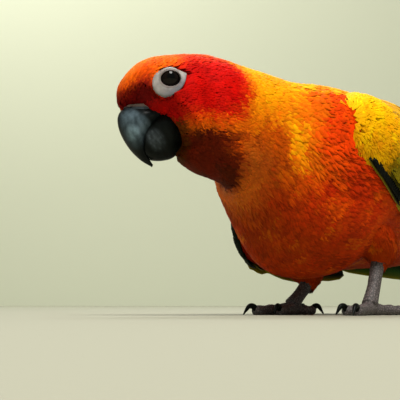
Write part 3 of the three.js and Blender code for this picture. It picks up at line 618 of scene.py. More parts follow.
def finish_tinted(tree, pattern, shades, settings, relief=None, height=None):
    """Ends a material: the piece's tint made darker and paler by a pattern, on a shader, with relief
    where given. Shades are the pattern's lowest and highest value, and what the tint is multiplied by at
    each."""
    tinted = add(tree, "ShaderNodeAttribute", {"attribute_name": "tint"})
    names = ("From Min", "From Max", "To Min", "To Max")
    ramp = add(tree, "ShaderNodeMapRange", zip(names, shades), Value=pattern)
    shaded = add(tree, "ShaderNodeVectorMath", {"operation": "SCALE"}, at0=tinted.outputs["Color"],
                 Scale=ramp.outputs["Result"])
    shader = add(tree, "ShaderNodeBsdfPrincipled", settings, Base_Color=shaded.outputs[0])
    if relief:
        bump = add(tree, "ShaderNodeBump", relief, Height=height)
        tree.links.new(bump.outputs["Normal"], shader.inputs["Normal"])
    add(tree, "ShaderNodeOutputMaterial", Surface=shader.outputs["BSDF"])


# Down over living skin, grown: a soft, matt, finely tufted ground in the colour of the feathers' hidden
# bases.
skin_finish, tree = material("down over living skin")
place = add(tree, "ShaderNodeTexCoord")
DOWN_GRAIN = 1.6  # millimetres between tufts of down
down = add(tree, "ShaderNodeTexNoise", {"Scale": 1000 / DOWN_GRAIN, "Detail": 3.0},
           Vector=place.outputs["Object"])
finish_tinted(tree, down.outputs["Fac"], (0.3, 0.7, 0.85, 1.05),
              {"Roughness": 0.85, "Specular IOR Level": 0.05},
              {"Strength": 0.6, "Distance": 0.0006}, down.outputs["Fac"])
skin.data.materials.clear()
skin.data.materials.append(skin_finish)
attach(skin, "root")
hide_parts("head", "neck", "torso", "thigh_left", "thigh_right")


# Contour feathers of head, neck and body. Each is a small keratin vane with a fine shaft and loose,
# hair-like barbs at its edge, rooted in the skin and lying back over the next like a shingle. They are
# smallest on the face, where eye ring and bill stay free, and largest on the breast and back.


def at_places(sheet, rows, columns):
    """Points, normals and the two steps of a sheet at places between its rows and columns."""
    points, normals = sheet["points"], sheet["normals"]
    count, round_count = points.shape[:2]
    r = np.clip(np.floor(rows).astype(int), 0, count - 2)
    t = np.asarray(rows - r)[..., None]
    if sheet["closed"]:
        c = np.floor(columns).astype(int)
        s = np.asarray(columns - c)[..., None]
        c, d = c % round_count, (c + 1) % round_count
    else:
        c = np.clip(np.floor(columns).astype(int), 0, round_count - 2)
        s = np.asarray(columns - c)[..., None]
        d = c + 1
    near = points[r, c] * (1 - s) + points[r, d] * s
    far = points[r + 1, c] * (1 - s) + points[r + 1, d] * s
    held = np.clip(t, 0, 1)
    n = (normals[r, c] * (1 - s) + normals[r, d] * s) * (1 - held)
    n = n + (normals[r + 1, c] * (1 - s) + normals[r + 1, d] * s) * held
    across = (points[r, d] - points[r, c]) * (1 - held) + (points[r + 1, d] - points[r + 1, c]) * held
    return near * (1 - t) + far * t, unit(n), far - near, across


ROOT_STRAY = 0.32  # how far a root strays from its even place, in spacings
ROW_GAP = 0.86  # from row to row, in spacings, as in a honeycomb


def scatter(sheet, spacing, draw, first=0.0, last=None):
    """Roots spread over a sheet, a spacing in millimetres apart that may change from row to row."""
    points = sheet["points"]
    count, round_count = points.shape[:2]
    last = count - 1 if last is None else last
    roots = []
    row, odd = first, 0.0
    while row < last:
        ring = at_places(sheet, np.full(round_count, row), np.arange(round_count, dtype=float))
        steps = np.linalg.norm(ring[3], axis=1)
        steps = steps if sheet["closed"] else steps[:-1]
        reach = np.concatenate([[0], np.cumsum(steps)])
        gap = float(spacing(row))
        number = max(int(reach[-1] / gap), 3)
        spots = (np.arange(number) + 0.5 + odd + draw.uniform(-ROOT_STRAY, ROOT_STRAY, number)) / number
        spots = (spots % 1.0) * reach[-1]
        columns = np.interp(spots, reach, np.arange(len(reach)))
        row_step = max(np.linalg.norm(ring[2], axis=1).mean(), 0.05)
        rows = row + draw.uniform(-0.3, 0.3, number) * gap / row_step
        roots.append(np.stack([np.clip(rows, 0, count - 1.001), columns], 1))
        row += gap * ROW_GAP / row_step
        odd = 0.5 - odd
    return np.concatenate(roots)


BARB_ROWS = ((0.0, 0.45), (0.45, 1.0), (0.80, 0.85))  # distance along a barb and its width, before its point
POINTS_EACH = 3 * len(BARB_ROWS) + 1
BARB_ROUND = 0.3  # how far a barb's own roundness turns the light on it
BARB_FILL = 0.86  # a barb's width, as a share of its even part of the feather
BARB_THICK = 0.10  # millimetres at the root
ROOT_SINK = 0.35  # millimetres that a root lies under the sheet
OPEN_TIP = 0.16  # how far the outer barbs fall short of the middle one, as a share of the length
BAKE_PATCH = 0.003  # a feather's patch on the OFBake map, as a share of the map


def barb_faces():
    """Triangles of one barb: three sided, closed at the root and drawn to a point."""
    faces = [(2, 1, 0)]
    for r in range(len(BARB_ROWS) - 1):
        for k in range(3):
            a, b = r * 3 + k, r * 3 + (k + 1) % 3
            faces += [(a, b, b + 3), (a, b + 3, a + 3)]
    last = 3 * (len(BARB_ROWS) - 1)
    return np.array(faces + [(last + k, last + (k + 1) % 3, last + 3) for k in range(3)])


def lay_feathers(name, sheet, roots, long, wide, depth, sway, pale, draw, barbs=6):
    """Joined feathers on a sheet, each a fan of barbs from one root. Sizes are in millimetres and sway in
    degrees, all by feather, and pale is how much lighter its tip is."""
    count = len(roots)
    rows, columns = roots[:, 0], roots[:, 1]
    _, facing, step_along, step_round = at_places(sheet, rows, columns)
    len_along = np.maximum(np.linalg.norm(step_along, axis=1), 0.02)[:, None, None]
    len_round = np.maximum(np.linalg.norm(step_round, axis=1), 0.02)[:, None, None]
    spread = np.linspace(-1, 1, barbs)[None, :, None] + draw.normal(0, 0.5 / barbs, (count, barbs, 1))
    t = np.concatenate([np.repeat([row[0] for row in BARB_ROWS], 3), [1.0]])[None, None]
    half = np.concatenate([np.repeat([row[1] for row in BARB_ROWS], 3), [0.0]])[None, None]
    corner = np.concatenate([np.tile([-1.0, 0.0, 1.0], len(BARB_ROWS)), [0.0]])[None, None]
    ridge = np.concatenate([np.tile([0.0, 1.0, 0.0], len(BARB_ROWS)), [0.5]])[None, None]
    reach = 1 - OPEN_TIP * spread ** 2 + draw.normal(0, 0.05, (count, barbs, 1))
    a = t * reach * long[:, None, None]
    own_width = wide[:, None, None] / barbs * BARB_FILL
    bend = draw.normal(0, 0.05, (count, barbs, 1)) * a * t
    c = spread * wide[:, None, None] / 2 * t ** 0.75 + corner * half * own_width + bend
    turn = np.radians(sway)[:, None, None]
    forward_mm = a * np.cos(turn) - c * np.sin(turn)
    across_mm = a * np.sin(turn) + c * np.cos(turn)
    points, normals, _, _ = at_places(
        sheet, rows[:, None, None] + forward_mm / len_along, columns[:, None, None] + across_mm / len_round)
    lift = -ROOT_SINK + (depth[:, None, None] + ROOT_SINK) * (1 - (1 - t) ** 1.9)
    jitter = draw.uniform(-0.06, 0.03, (count, barbs, 1)) * t
    height = lift + jitter + ridge * BARB_THICK * (1 - 0.5 * t) - 0.012 * wide[:, None, None] * spread ** 2
    points = points + normals * height[..., None]
    each = barb_faces()
    if (np.cross(step_along, step_round) * facing).sum() > 0:
        each = each[:, ::-1]
    starts = np.arange(count * barbs) * POINTS_EACH
    faces = (each[None] + starts[:, None, None]).reshape(-1, 3)
    made = mesh_object(name, points.reshape(-1, 3), faces)
    # the barbs of a coat lie too close to shade one by one, so they take the light almost as the whole
    # coat does
    rounding = (corner * BARB_ROUND)[..., None] * unit(step_round)[:, None, None]
    made.data.normals_split_custom_set_from_vertices(unit(normals + rounding).reshape(-1, 3))
    table = sheet["colours"]
    r = np.clip(np.round(rows).astype(int), 0, table.shape[0] - 1)
    c_at = np.round(columns).astype(int)
    c_at = c_at % table.shape[1] if sheet["closed"] else np.clip(c_at, 0, table.shape[1] - 1)
    base = table[r, c_at] * (1 + draw.normal(0, 0.06, (count, 1)))
    base[:, 1] *= 1 + draw.normal(0, 0.08, count)
    base = base[:, None, None]
    fleck = 1 + draw.normal(0, 0.05, (count, barbs, 1, 1))
    light = (pale[:, None, None] * t ** 2)[..., None]
    root_shade = (0.9 + 0.1 * np.minimum(t * 1.5, 1))[..., None]
    colours = base * fleck * root_shade * (1 + 0.2 * light)
    tint(made, np.clip(colours, 0, 1).reshape(-1, 3))
    u0, u1, v0, v1 = sheet["chart"]
    root_u = (u0 + (u1 - u0) * columns / sheet["points"].shape[1])[:, None, None]
    root_v = (v0 + (v1 - v0) * rows / sheet["points"].shape[0])[:, None, None]
    across = c / np.maximum(wide[:, None, None], 0.1)
    patch_u = (root_u + across * BAKE_PATCH).ravel()
    patch_v = (root_v + (t - 0.5 + 0 * across) * BAKE_PATCH).ravel()
    flat = faces.ravel()
    bake_map(made, np.stack([patch_u[flat], patch_v[flat]], 1))
    return made


# Loose-barbed keratin, grown and preened: matt and soft, deep in colour because light sinks in among the
# barbs.
soft_feather, tree = material("feather keratin, loose barbs")
place = add(tree, "ShaderNodeTexCoord")
MOTTLE = 2.4  # millimetres across a slightly paler or darker patch, where the plumage is worn
mottle = add(tree, "ShaderNodeTexNoise", {"Scale": 1000 / MOTTLE, "Detail": 4.0, "Roughness": 0.6},
             Vector=place.outputs["Object"])
finish_tinted(tree, mottle.outputs["Fac"], (0.3, 0.7, 0.84, 1.12),
              {"Roughness": 0.7, "Specular IOR Level": 0.06})


def by_station(values):
    """A size that runs smoothly through one value for each section of the body, read by row."""
    curve = along([(i * STEPS, v) for i, v in enumerate(values)])
    return lambda row: curve(np.asarray(row, float))


# Feathers from the bill back, in millimetres: length, width, the gap between roots, and depth of plumage.
FEATHER_LONG = by_station([2.2, 2.6, 3.1, 3.8, 4.8, 6.4, 8.5, 10, 11, 11.5, 11.5, 11, 11])
FEATHER_WIDE = by_station([1.0, 1.1, 1.3, 1.6, 2.1, 2.9, 3.8, 4.6, 5.0, 5.2, 5.2, 4.8, 4.2])
FEATHER_GAP = by_station([0.68, 0.70, 0.78, 0.90, 1.05, 1.25, 1.45, 1.65, 1.8, 1.9, 1.9, 1.8, 1.7])
PLUMAGE_DEPTH = by_station([row[-1] for row in HEAD_STATIONS] + [row[-1] for row in BODY_STATIONS])

# The eye ring's edge: degrees round the eye from straight ahead, upward, and millimetres out, with a
# point at the back corner.
ring_edge = along([(-180, 4.0), (-168, 4.5), (-157, 5.3), (-146, 5.0), (-121, 4.85), (-91, 5.1),
                   (-68, 5.6), (-50, 6.25), (-33, 6.7), (-14, 6.7), (11, 6.25), (35, 5.5), (52, 4.95),
                   (73, 4.1), (94, 3.5), (130, 3.35), (160, 3.5), (180, 4.0)])


def ring_reach(turn, grow=0.0):
    """How far the eye ring's edge stands from the eye's middle."""
    return ring_edge((np.degrees(turn) + 180) % 360 - 180) - 0.4 + grow


def in_ring(points, grow):
    f, u, side = head_place(points)
    return (np.hypot(f, u) < ring_reach(np.arctan2(u, f), grow)) & (np.abs(side) > 8)


def on_bill(points):
    f, u, _ = head_place(points)
    return past_edge(BARE_EDGE, f, u)[0] < 0.15


def under_wing(points):
    """Whether points lie under either wing's pad, where body feathers would only crowd it."""
    hidden = np.zeros(len(points), bool)
    flat = np.array(points)
    flat[:, 2] += flat[:, 1] * BODY_LEAN
    x = flat[:, 0]
    for sign in (1, -1):
        y, z = -sign * flat[:, 1], flat[:, 2] - carrier_height(x)
        angle = np.degrees(np.arctan2(z / carrier_top(x), y / carrier_side(x)))
        low = wing_low(x) + 9 - (WING_SLIP if sign < 0 else 0)
        hidden |= (x > -11) & (x < 64) & (angle > low) & (angle < wing_high(x) - 10) & (y > 0)
    return hidden


draw = np.random.default_rng(41)
roots = scatter(body_sheet, FEATHER_GAP, draw, 1.0)
spots = at_places(body_sheet, roots[:, 0], roots[:, 1])[0]
roots = roots[~(in_ring(spots, 0.3) | on_bill(spots) | under_wing(spots))]
whole = FEATHER_LONG(roots[:, 0]) * draw.uniform(0.85, 1.15, len(roots))
long = whole.copy()
row_step = np.maximum(np.linalg.norm(at_places(body_sheet, roots[:, 0], roots[:, 1])[2], axis=1), 0.02)
# a feather whose tip or middle would lie on the bare eye ring is cut shorter, up to three times
RING_MARGIN, SHORTEST = 0.45, 0.6  # millimetres
for _ in range(3):
    tips, middles = (at_places(body_sheet, roots[:, 0] + share * long / row_step, roots[:, 1])[0]
                     for share in (1, 0.5))
    long[in_ring(tips, RING_MARGIN) | in_ring(middles, RING_MARGIN)] *= 0.7
clear = long > SHORTEST
roots, long, cut = roots[clear], long[clear], 1 - long[clear] / whole[clear]

# Each piece: the rows where it starts and ends, and the barbs of each feather.
COAT_PIECES = (("face", 0, 3.1, 3, "plumage_scarlet"), ("crown", 3.1, 4.6, 4, "plumage_scarlet"),
               ("neck", 4.6, 6.3, 5, "plumage_orange"), ("breast", 6.3, 7.9, 6, "plumage_orange"),
               ("belly", 7.9, 99, 6, "plumage_orange"))
# How far the feathers stand off more than lying flat, in millimetres: over the front of the folded wing,
# on the crown, less on the nape, in the fold between throat and breast, and less where they are cut
# short.
above, at_station = np.sin(roots[:, 1] * 2 * math.pi / SIDES), roots[:, 0] / STEPS
loft = 2.8 * fade(at_station, 6.1, 6.9) * fade(above, -0.42, 0.0) * (1 - fade(above, 0.86, 0.98))
loft += 0.65 * fade(above, 0.3, 0.8) * fade(at_station, 2.2, 3.2) * (1 - fade(at_station, 3.7, 4.3))
loft -= 0.9 * fade(above, 0.3, 0.8) * fade(at_station, 4.2, 4.6) * (1 - fade(at_station, 5.1, 5.8))
loft += 0.7 * fade(-above, 0.6, 0.85) * fade(at_station, 4.4, 5.0) * (1 - fade(at_station, 5.7, 6.3))
loft -= 0.7 * cut * PLUMAGE_DEPTH(roots[:, 0])
for part_name, first_row, last_row, barbs, slot in COAT_PIECES:
    chosen = (roots[:, 0] >= first_row * STEPS) & (roots[:, 0] < last_row * STEPS)
    own = roots[chosen]
    number = len(own)
    piece = lay_feathers(
        f"feathers_{part_name}", body_sheet, own, long[chosen],
        FEATHER_WIDE(own[:, 0]) * draw.uniform(0.85, 1.15, number),
        PLUMAGE_DEPTH(own[:, 0]) * draw.uniform(0.9, 1.0, number) + loft[chosen],
        draw.normal(0, 6, number), draw.uniform(0.0, 1.0, number), draw, barbs)
    piece.data.materials.append(soft_feather)
    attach(piece, "root")

# Thigh feathers: short, dense trousers of the same soft keratin, rooted in the skin of each thigh from
# the hip down to the ankle.
BOTH_SIDES = (("left", 1), ("right", -1))
for side_name, sign in BOTH_SIDES:
    rings = thigh_rings(sign)
    beside = beside_skin(rings.reshape(-1, 3))
    colours = skin_colours[beside[:, 0], beside[:, 1]].reshape(rings.shape)
    down_leg = np.linspace(0, 1, len(rings))[:, None]
    colours = blend(colours, "#C24400", 0.6 * down_leg)
    chart = (0.62, 0.70, 0.02, 0.2) if sign > 0 else (0.62, 0.70, 0.22, 0.4)
    sheet = outward(surface(rings, True, colours, chart))
    own = scatter(sheet, lambda row: 1.25, draw, 0.0, len(rings) - 3.0)
    number = len(own)
    shorter = 1 - 0.45 * own[:, 0] / len(rings)
    piece = lay_feathers(
        f"feathers_thigh_{side_name}", sheet, own, draw.uniform(4.0, 5.2, number) * shorter,
        draw.uniform(1.7, 2.3, number), draw.uniform(0.9, 1.4, number), draw.normal(0, 9, number),
        draw.uniform(0.0, 0.6, number), draw, 4)
    piece.data.materials.append(soft_feather)
    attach(piece, "root")


# Bill. Two hollow shells of black horn grow over the jaw bones: a long hooked upper and a short cupped
# lower that closes inside it. The horn is polished by use, with faint growth lines, and a blue-grey
# highlight and sheen are painted on it where light would rake it.

def carve(piece, tool):
    """Cuts one piece by another, and clears the tool away."""
    settle(piece, "BOOLEAN", operation="DIFFERENCE", object=tool, solver="EXACT")
    bpy.data.objects.remove(tool, do_unlink=True)
    piece.data.polygons.foreach_set("use_smooth", [True] * len(piece.data.polygons))


BILL_GAP = 0.25  # millimetres between the two where they close
bill_upper = tube("horn_upper", bill_rings(UPPER_BILL, True))
bill_lower = tube("horn_lower", bill_rings(LOWER_BILL, False))
carve(bill_lower, tube("bill_room", bill_rings(UPPER_BILL, True, BILL_GAP)))

# Black horn, grown in layers and polished by use: a low, even gloss, with paler worn patches and faint
# growth lines.
horn, tree = material("black horn, polished by use")
WAVE_PERIOD = 0.314  # a wave texture's period at scale 1
GROWTH_LINE = 2.2  # millimetres apart; real lines are finer than 0.5, which is too fine to show here
WORN = 4.0  # millimetres across a worn patch
place = add(tree, "ShaderNodeTexCoord")
stretch = add(tree, "ShaderNodeMapping", {"Rotation": (0.0, 0.6, 0.7)}, Vector=place.outputs["Object"])
lines = add(tree, "ShaderNodeTexWave", {"Scale": 1000 * WAVE_PERIOD / GROWTH_LINE, "Distortion": 5.0,
                                        "Detail": 3.0, "Detail Scale": 1.5},
            Vector=stretch.outputs["Vector"])
clouds = add(tree, "ShaderNodeTexNoise", {"Scale": 1000 / WORN, "Detail": 5.0, "Roughness": 0.65},
             Vector=place.outputs["Object"])
both = add(tree, "ShaderNodeMath", {"operation": "MULTIPLY_ADD", 1: 0.12}, at0=lines.outputs["Fac"],
           at2=clouds.outputs["Fac"])
finish_tinted(tree, both.outputs[0], (0.38, 0.72, 0.6, 1.6),
              {"Roughness": 0.33, "IOR": 1.55, "Specular IOR Level": 0.06},
              {"Strength": 0.12, "Distance": 0.0002}, lines.outputs["Fac"])

# slate grey on the flanks of the upper bill, in part painted sheen, with a paler painted highlight, near
# black along its ridge and at its tip
HORN_BLACK = "#0C0F0D"
f, u, side = head_place(millimetres(bill_upper))
side = np.abs(side)
painted_highlight = 1 - fade(np.hypot((f - 18.6) / 2.6, (u + 6.6) / 3.2), 0.3, 1.0)
tint(bill_upper, painted(
    HORN_BLACK,
    ("#46545C", fade(side, 1.2, 4.2) * fade(u, -13.0, -6.5)),
    ("#6C818C", 0.9 * painted_highlight * fade(side, 1.0, 3.0)),
    ("#15191A", fade(-f + 0.25 * u, -15.4, -13.4)),
))
# near black on the lower bill, with grey scuffs at the middle of its side that are in part a painted
# highlight
f, u, side = head_place(millimetres(bill_lower))
scuffs_and_highlight = (1 - fade(np.hypot((f - 14.2) / 3.4, (u + 12.6) / 4.6), 0.4, 1.0)) * fade(np.abs(side), 2.0, 4.0)
streaks = fade(patches(np.stack([f, u * 0.5, side], 1), 0.8, 6.0), -0.2, 0.8)
tint(bill_lower, painted(HORN_BLACK, ("#4A5256", 0.3 * scuffs_and_highlight + 0.35 * scuffs_and_highlight * streaks)))
for piece, node in ((bill_upper, "bill_upper"), (bill_lower, "bill_lower")):
    piece.data.materials.clear()
    piece.data.materials.append(horn)
    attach(piece, "root")
    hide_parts(node)


# Cere. A low pad of bare, pale grey skin over the root of the upper bill, with a round nostril on each
# side. It is living skin, grown fast to the horn in front and running in under the forehead's feathers
# behind.

# Sections as for the bill.
CERE_ROWS = [(14.4, 2.4, 7.0, -4.0, 6.9), (15.0, 2.5, 7.5, -4.35, 7.2), (15.7, 2.2, 8.1, -4.6, 7.3),
             (16.4, 1.5, 8.8, -4.8, 6.95), (17.0, 0.7, 9.7, -4.9, 6.1)]


def past_rim(f, u):
    """Millimetres in front of the pad's rear edge."""
    return (f - 14.4) * 0.654 - (u - 2.4) * 0.757


pad = bill_rings(CERE_ROWS, True, 0.0, 6)
f, u, side = head_place(pad)
hugging = bill_side(f, u) + 0.32 - 0.5 * fade(past_rim(f, u), 1.0, 2.6)
pad -= (np.maximum(np.abs(side) - hugging, 0) * np.sign(side))[..., None] * left
cere = tube("cere_skin", pad)
NOSTRIL_F, NOSTRIL_U, NOSTRIL_RADIUS = 14.4, 0.6, 0.7
nostril_out = bill_side(np.array([NOSTRIL_F]), np.array([NOSTRIL_U]))[0] + 0.2
for sign in (1, -1):
    place_at = Vector(to_metres(in_head(NOSTRIL_F, NOSTRIL_U, sign * nostril_out)))
    bpy.ops.mesh.primitive_uv_sphere_add(
        segments=20, ring_count=12, radius=NOSTRIL_RADIUS / 1000, location=place_at)
    carve(cere, bpy.context.object)

# Bare skin, grown: satin and slightly translucent, blotched by the blood under it and crossed by fine
# wrinkles.
bare_skin, tree = material("bare skin, finely wrinkled")
WRINKLE = 0.5  # millimetres from one wrinkle to the next
BLUSH = 1.6  # millimetres across a paler or darker blotch
place = add(tree, "ShaderNodeTexCoord")
wrinkles = add(tree, "ShaderNodeTexVoronoi", {"Scale": 1000 / WRINKLE, "feature": "DISTANCE_TO_EDGE"},
               Vector=place.outputs["Object"])
blush = add(tree, "ShaderNodeTexNoise", {"Scale": 1000 / BLUSH, "Detail": 4.0},
            Vector=place.outputs["Object"])
finish_tinted(tree, blush.outputs["Fac"], (0.35, 0.65, 0.78, 1.1),
              {"Roughness": 0.55, "Subsurface Weight": 0.1, "Subsurface Scale": 0.001},
              {"Strength": 0.5, "Distance": 0.00012}, wrinkles.outputs["Distance"])
# pale grey at the pad's rear rim and dark grey towards the front like the horn, the dark in part painted
# shade on the pad's upward face
f, u, _ = head_place(millimetres(cere))
tint(cere, painted("#A8988E", ("#36424A", fade(past_rim(f, u), 0.5, 1.4))))
cere.data.materials.clear()
cere.data.materials.append(bare_skin)
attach(cere, "root")
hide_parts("cere")


# Eyes. Each is a wet ball under a clear, bulging cornea, with a black pupil and a dark brown iris. It is
# seated in its socket and held by the lids.

EYE_RADIUS, EYE_OUT = 3.9, 10.9  # its radius, and how far out its middle is from the head's
CORNEA_BULGE = 0.035


def linear(text):
    """A hex colour as a colour socket takes it."""
    return (*hex_colour(text), 1.0)


def set_stops(ramp, *stops):
    """Sets a colour ramp's stops, each a place and a hex colour."""
    elements = ramp.color_ramp.elements
    for number, (position, colour) in enumerate(stops):
        stop = elements[number] if number < 2 else elements.new(position)
        stop.position = position
        stop.color = linear(colour)


# A living eye, wet with tears: near black and very glossy, so that it shows one small, sharp light. The
# pattern is the iris itself, by share of the eye's radius: pupil, brown iris and darker rim.
eye_gloss, tree = material("wet eye, dark brown iris")
own = add(tree, "ShaderNodeUVMap", {"uv_map": "Iris"})
split = add(tree, "ShaderNodeSeparateXYZ", Vector=own.outputs["UV"])
tones = add(tree, "ShaderNodeValToRGB", Fac=split.outputs["X"])
set_stops(tones, (0.30, "#020202"), (0.36, "#100804"), (0.72, "#0A0504"))
shader = add(tree, "ShaderNodeBsdfPrincipled", {"Roughness": 0.08, "IOR": 1.34, "Specular IOR Level": 0.3},
             Base_Color=tones.outputs["Color"])
add(tree, "ShaderNodeOutputMaterial", Surface=shader.outputs["BSDF"])


def dome(sign, rings=28, sides=48):
    """An eyeball as rings from its front pole to its back."""
    tilt = np.linspace(0.02, math.pi - 0.02, rings)
    turn = np.arange(sides) * 2 * math.pi / sides
    cornea = 1 + CORNEA_BULGE * np.exp(-((tilt / 0.55) ** 2))
    reach, out = np.sin(tilt) * EYE_RADIUS, np.cos(tilt) * EYE_RADIUS * cornea
    f, u = reach[:, None] * np.cos(turn), reach[:, None] * np.sin(turn)
    return in_head(f, u, sign * (EYE_OUT + out[:, None] + 0 * f))


for side_name, sign in BOTH_SIDES:
    eye = tube(f"eyeball_{side_name}", dome(sign))
    f, u, _ = head_place(millimetres(eye))
    share = (np.hypot(f, u) / EYE_RADIUS)[corner_vertices(eye)]
    layer = eye.data.uv_layers.new(name="Iris")
    layer.data.foreach_set("uv", np.stack([share, 0 * share], 1).ravel())
    eye.data.materials.append(eye_gloss)
    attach(eye, "root")
    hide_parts(f"eye_{side_name}")


# Eye rings. A patch of bare, grey-white skin round each eye, wider below and drawn to a point behind, in
# fine rings of wrinkles that end in two soft lids with a pinkish rim.

EYE_OPEN, EYE_LEAN = (3.1, 2.5), math.radians(34)  # the opening's half length and height, and its slant
OPEN_AT = (0.35, -0.38)  # the middle of the opening, ahead of and above the eye's middle
RING_SIDES = 72
LID_ROOM = 0.12  # millimetres between the eye and the lids
# From behind the lid, over its rim, out over the wrinkled skin and down into the face: the share of the
# way from the opening to the ring's edge, and millimetres of height.
RING_PROFILE = ((0.0, -0.9), (-0.05, -0.25), (-0.02, 0.3), (0.05, 0.62), (0.13, 0.66), (0.2, 0.42),
                (0.26, 0.3), (0.32, 0.42), (0.38, 0.28), (0.45, 0.38), (0.52, 0.25), (0.6, 0.34),
                (0.68, 0.2), (0.76, 0.28), (0.84, 0.12), (0.92, 0.12), (1.0, -0.1), (1.04, -0.9))
RING_BACK = ((1.04, 2.0), (0.5, 2.6), (0.0, 2.6))  # the same for its hidden back, as millimetres of depth
face_places = head_place(body_rings(0).reshape(-1, 3))


def mix(a, b, t):
    return a + (b - a) * t


def face_out(sign, f, u):
    """How far out the face's surface stands at a place beside the eye."""
    face_f, face_u, face_side = face_places
    near = (np.hypot(face_f, face_u) < 14) & (face_side * sign > 6)
    gap = np.hypot(f[..., None] - face_f[near], u[..., None] - face_u[near])
    weight = np.exp(-((gap / 1.3) ** 2)) + 1e-9
    return (weight * face_side[near] * sign).sum(-1) / weight.sum(-1)


turn = np.arange(RING_SIDES) * 2 * math.pi / RING_SIDES
c, s = np.cos(turn), np.sin(turn)
open_f = OPEN_AT[0] + EYE_OPEN[0] * c * math.cos(EYE_LEAN) - EYE_OPEN[1] * s * math.sin(EYE_LEAN)
open_u = OPEN_AT[1] + EYE_OPEN[0] * c * math.sin(EYE_LEAN) + EYE_OPEN[1] * s * math.cos(EYE_LEAN)
true_turn = np.arctan2(open_u, open_f)
edge = ring_reach(true_turn, 0.25)
edge_f, edge_u = np.cos(true_turn) * edge, np.sin(true_turn) * edge
lid_out = EYE_OUT + np.sqrt(np.maximum((EYE_RADIUS + LID_ROOM) ** 2 - open_f ** 2 - open_u ** 2, 0))
for side_name, sign in BOTH_SIDES:
    rings = []
    for share, high in RING_PROFILE:
        f, u = mix(open_f, edge_f, share), mix(open_u, edge_u, share)
        near_lid = np.clip(1 - share * 3.2, 0, 1) ** 1.5
        base = face_out(sign, f, u) - 0.35
        out = base * (1 - near_lid) + lid_out * near_lid + high * (0.65 + 0.35 * near_lid)
        ball = EYE_OUT + np.sqrt(np.maximum(EYE_RADIUS ** 2 - f ** 2 - u ** 2, 0)) + 0.3
        covers = (share > 0) & (np.hypot(f, u) < EYE_RADIUS)
        rings.append(in_head(f, u, sign * np.where(covers, np.maximum(out, ball), out)))
    for share, back in RING_BACK:
        f, u = mix(open_f * 1.06, edge_f, share), mix(open_u * 1.06, edge_u, share)
        rings.append(in_head(f, u, sign * (face_out(sign, f, u) - back)))
    # the rings close on themselves, from the last one back to the first
    faces = tube_faces(len(rings) + 1, RING_SIDES) % (len(rings) * RING_SIDES)
    ring = mesh_object(f"eye_ring_skin_{side_name}", np.concatenate(rings), faces)
    wind_outward(ring)
    f, u, _ = head_place(millimetres(ring))
    # grey-white, darker and bluer below as painted shade, with a pinkish brown lid
    lid = 1 - fade(np.hypot(f - OPEN_AT[0], u - OPEN_AT[1]), 2.9, 3.6)
    tint(ring, painted("#99938E", ("#76747A", fade(-u, 0.5, 4.5)), ("#6E625E", lid)))
    ring.data.materials.append(bare_skin)
    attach(ring, "root")
    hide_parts(f"eye_ring_{side_name}")


# Wings. Over the folded arm lie small golden coverts, then two rows of larger ones, then the flight
# feathers: long stiff vanes with a shaft, ten primaries under a stack of secondaries. The left wing is
# held, the right hangs loose.

VANE_COLUMNS = np.array([-1.0, -0.62, -0.3, -0.06, 0.06, 0.3, 0.62, 1.0])  # across, the shaft in the middle
VANE_THICK, SHAFT_HIGH, VANE_BOW = 0.30, 0.16, 0.025  # millimetres, and the bow as a share of the width
SHAFT_WIDE = 0.12  # as a share of half the width


def vane(place, long, wide, outline, draw, colour, rows=13):
    """One flight feather: points, quads, colours. Place turns (share along, millimetres across, height)
    to points."""
    shares = np.linspace(0, 1, rows) ** 0.92
    columns = VANE_COLUMNS
    half = outline(shares) * wide / 2
    ragged = 1 - 0.10 * draw.random((rows, 2)) * (shares[:, None] > 0.25)
    across = columns[None] * half[:, None]
    across[:, 0] *= ragged[:, 0]
    across[:, -1] *= ragged[:, 1]
    shaft = np.exp(-((columns / SHAFT_WIDE) ** 2))
    thick = VANE_THICK * (1 - 0.5 * shares)[:, None] * (1 - 0.35 * np.abs(columns)[None])
    over = SHAFT_HIGH * shaft[None] * (1 - 0.7 * shares[:, None]) - VANE_BOW * wide * columns[None] ** 2
    t = np.broadcast_to(shares[:, None], across.shape)
    upper = place(t, across, over)
    under = place(t, across, over - thick)
    points = np.concatenate([upper.reshape(-1, 3), under.reshape(-1, 3)])
    width = len(columns)
    quads = []
    for r in range(rows - 1):
        for k in range(width - 1):
            a = r * width + k
            quads.append((a, a + 1, a + width + 1, a + width))
            b = a + rows * width
            quads.append((b, b + width, b + width + 1, b + 1))
    rim = [(0, k) for k in range(width - 1)] + [(r, width - 1) for r in range(rows - 1)]
    rim += [(rows - 1, k) for k in range(width - 1, 0, -1)] + [(r, 0) for r in range(rows - 1, 0, -1)]
    for (r, k), (r2, k2) in zip(rim, rim[1:] + rim[:1]):
        a, b = r * width + k, r2 * width + k2
        quads.append((a, a + rows * width, b + rows * width, b))
    tints = colour(t, np.broadcast_to(columns[None], across.shape))
    tints = np.concatenate([tints.reshape(-1, 3), tints.reshape(-1, 3) * 0.7])
    own_map = np.stack([across, t * long], -1).reshape(-1, 2)
    in_vane = np.stack([columns[None] + 0 * t, t], -1).reshape(-1, 2)
    return points, np.array(quads), tints, np.concatenate([own_map, own_map]), in_vane


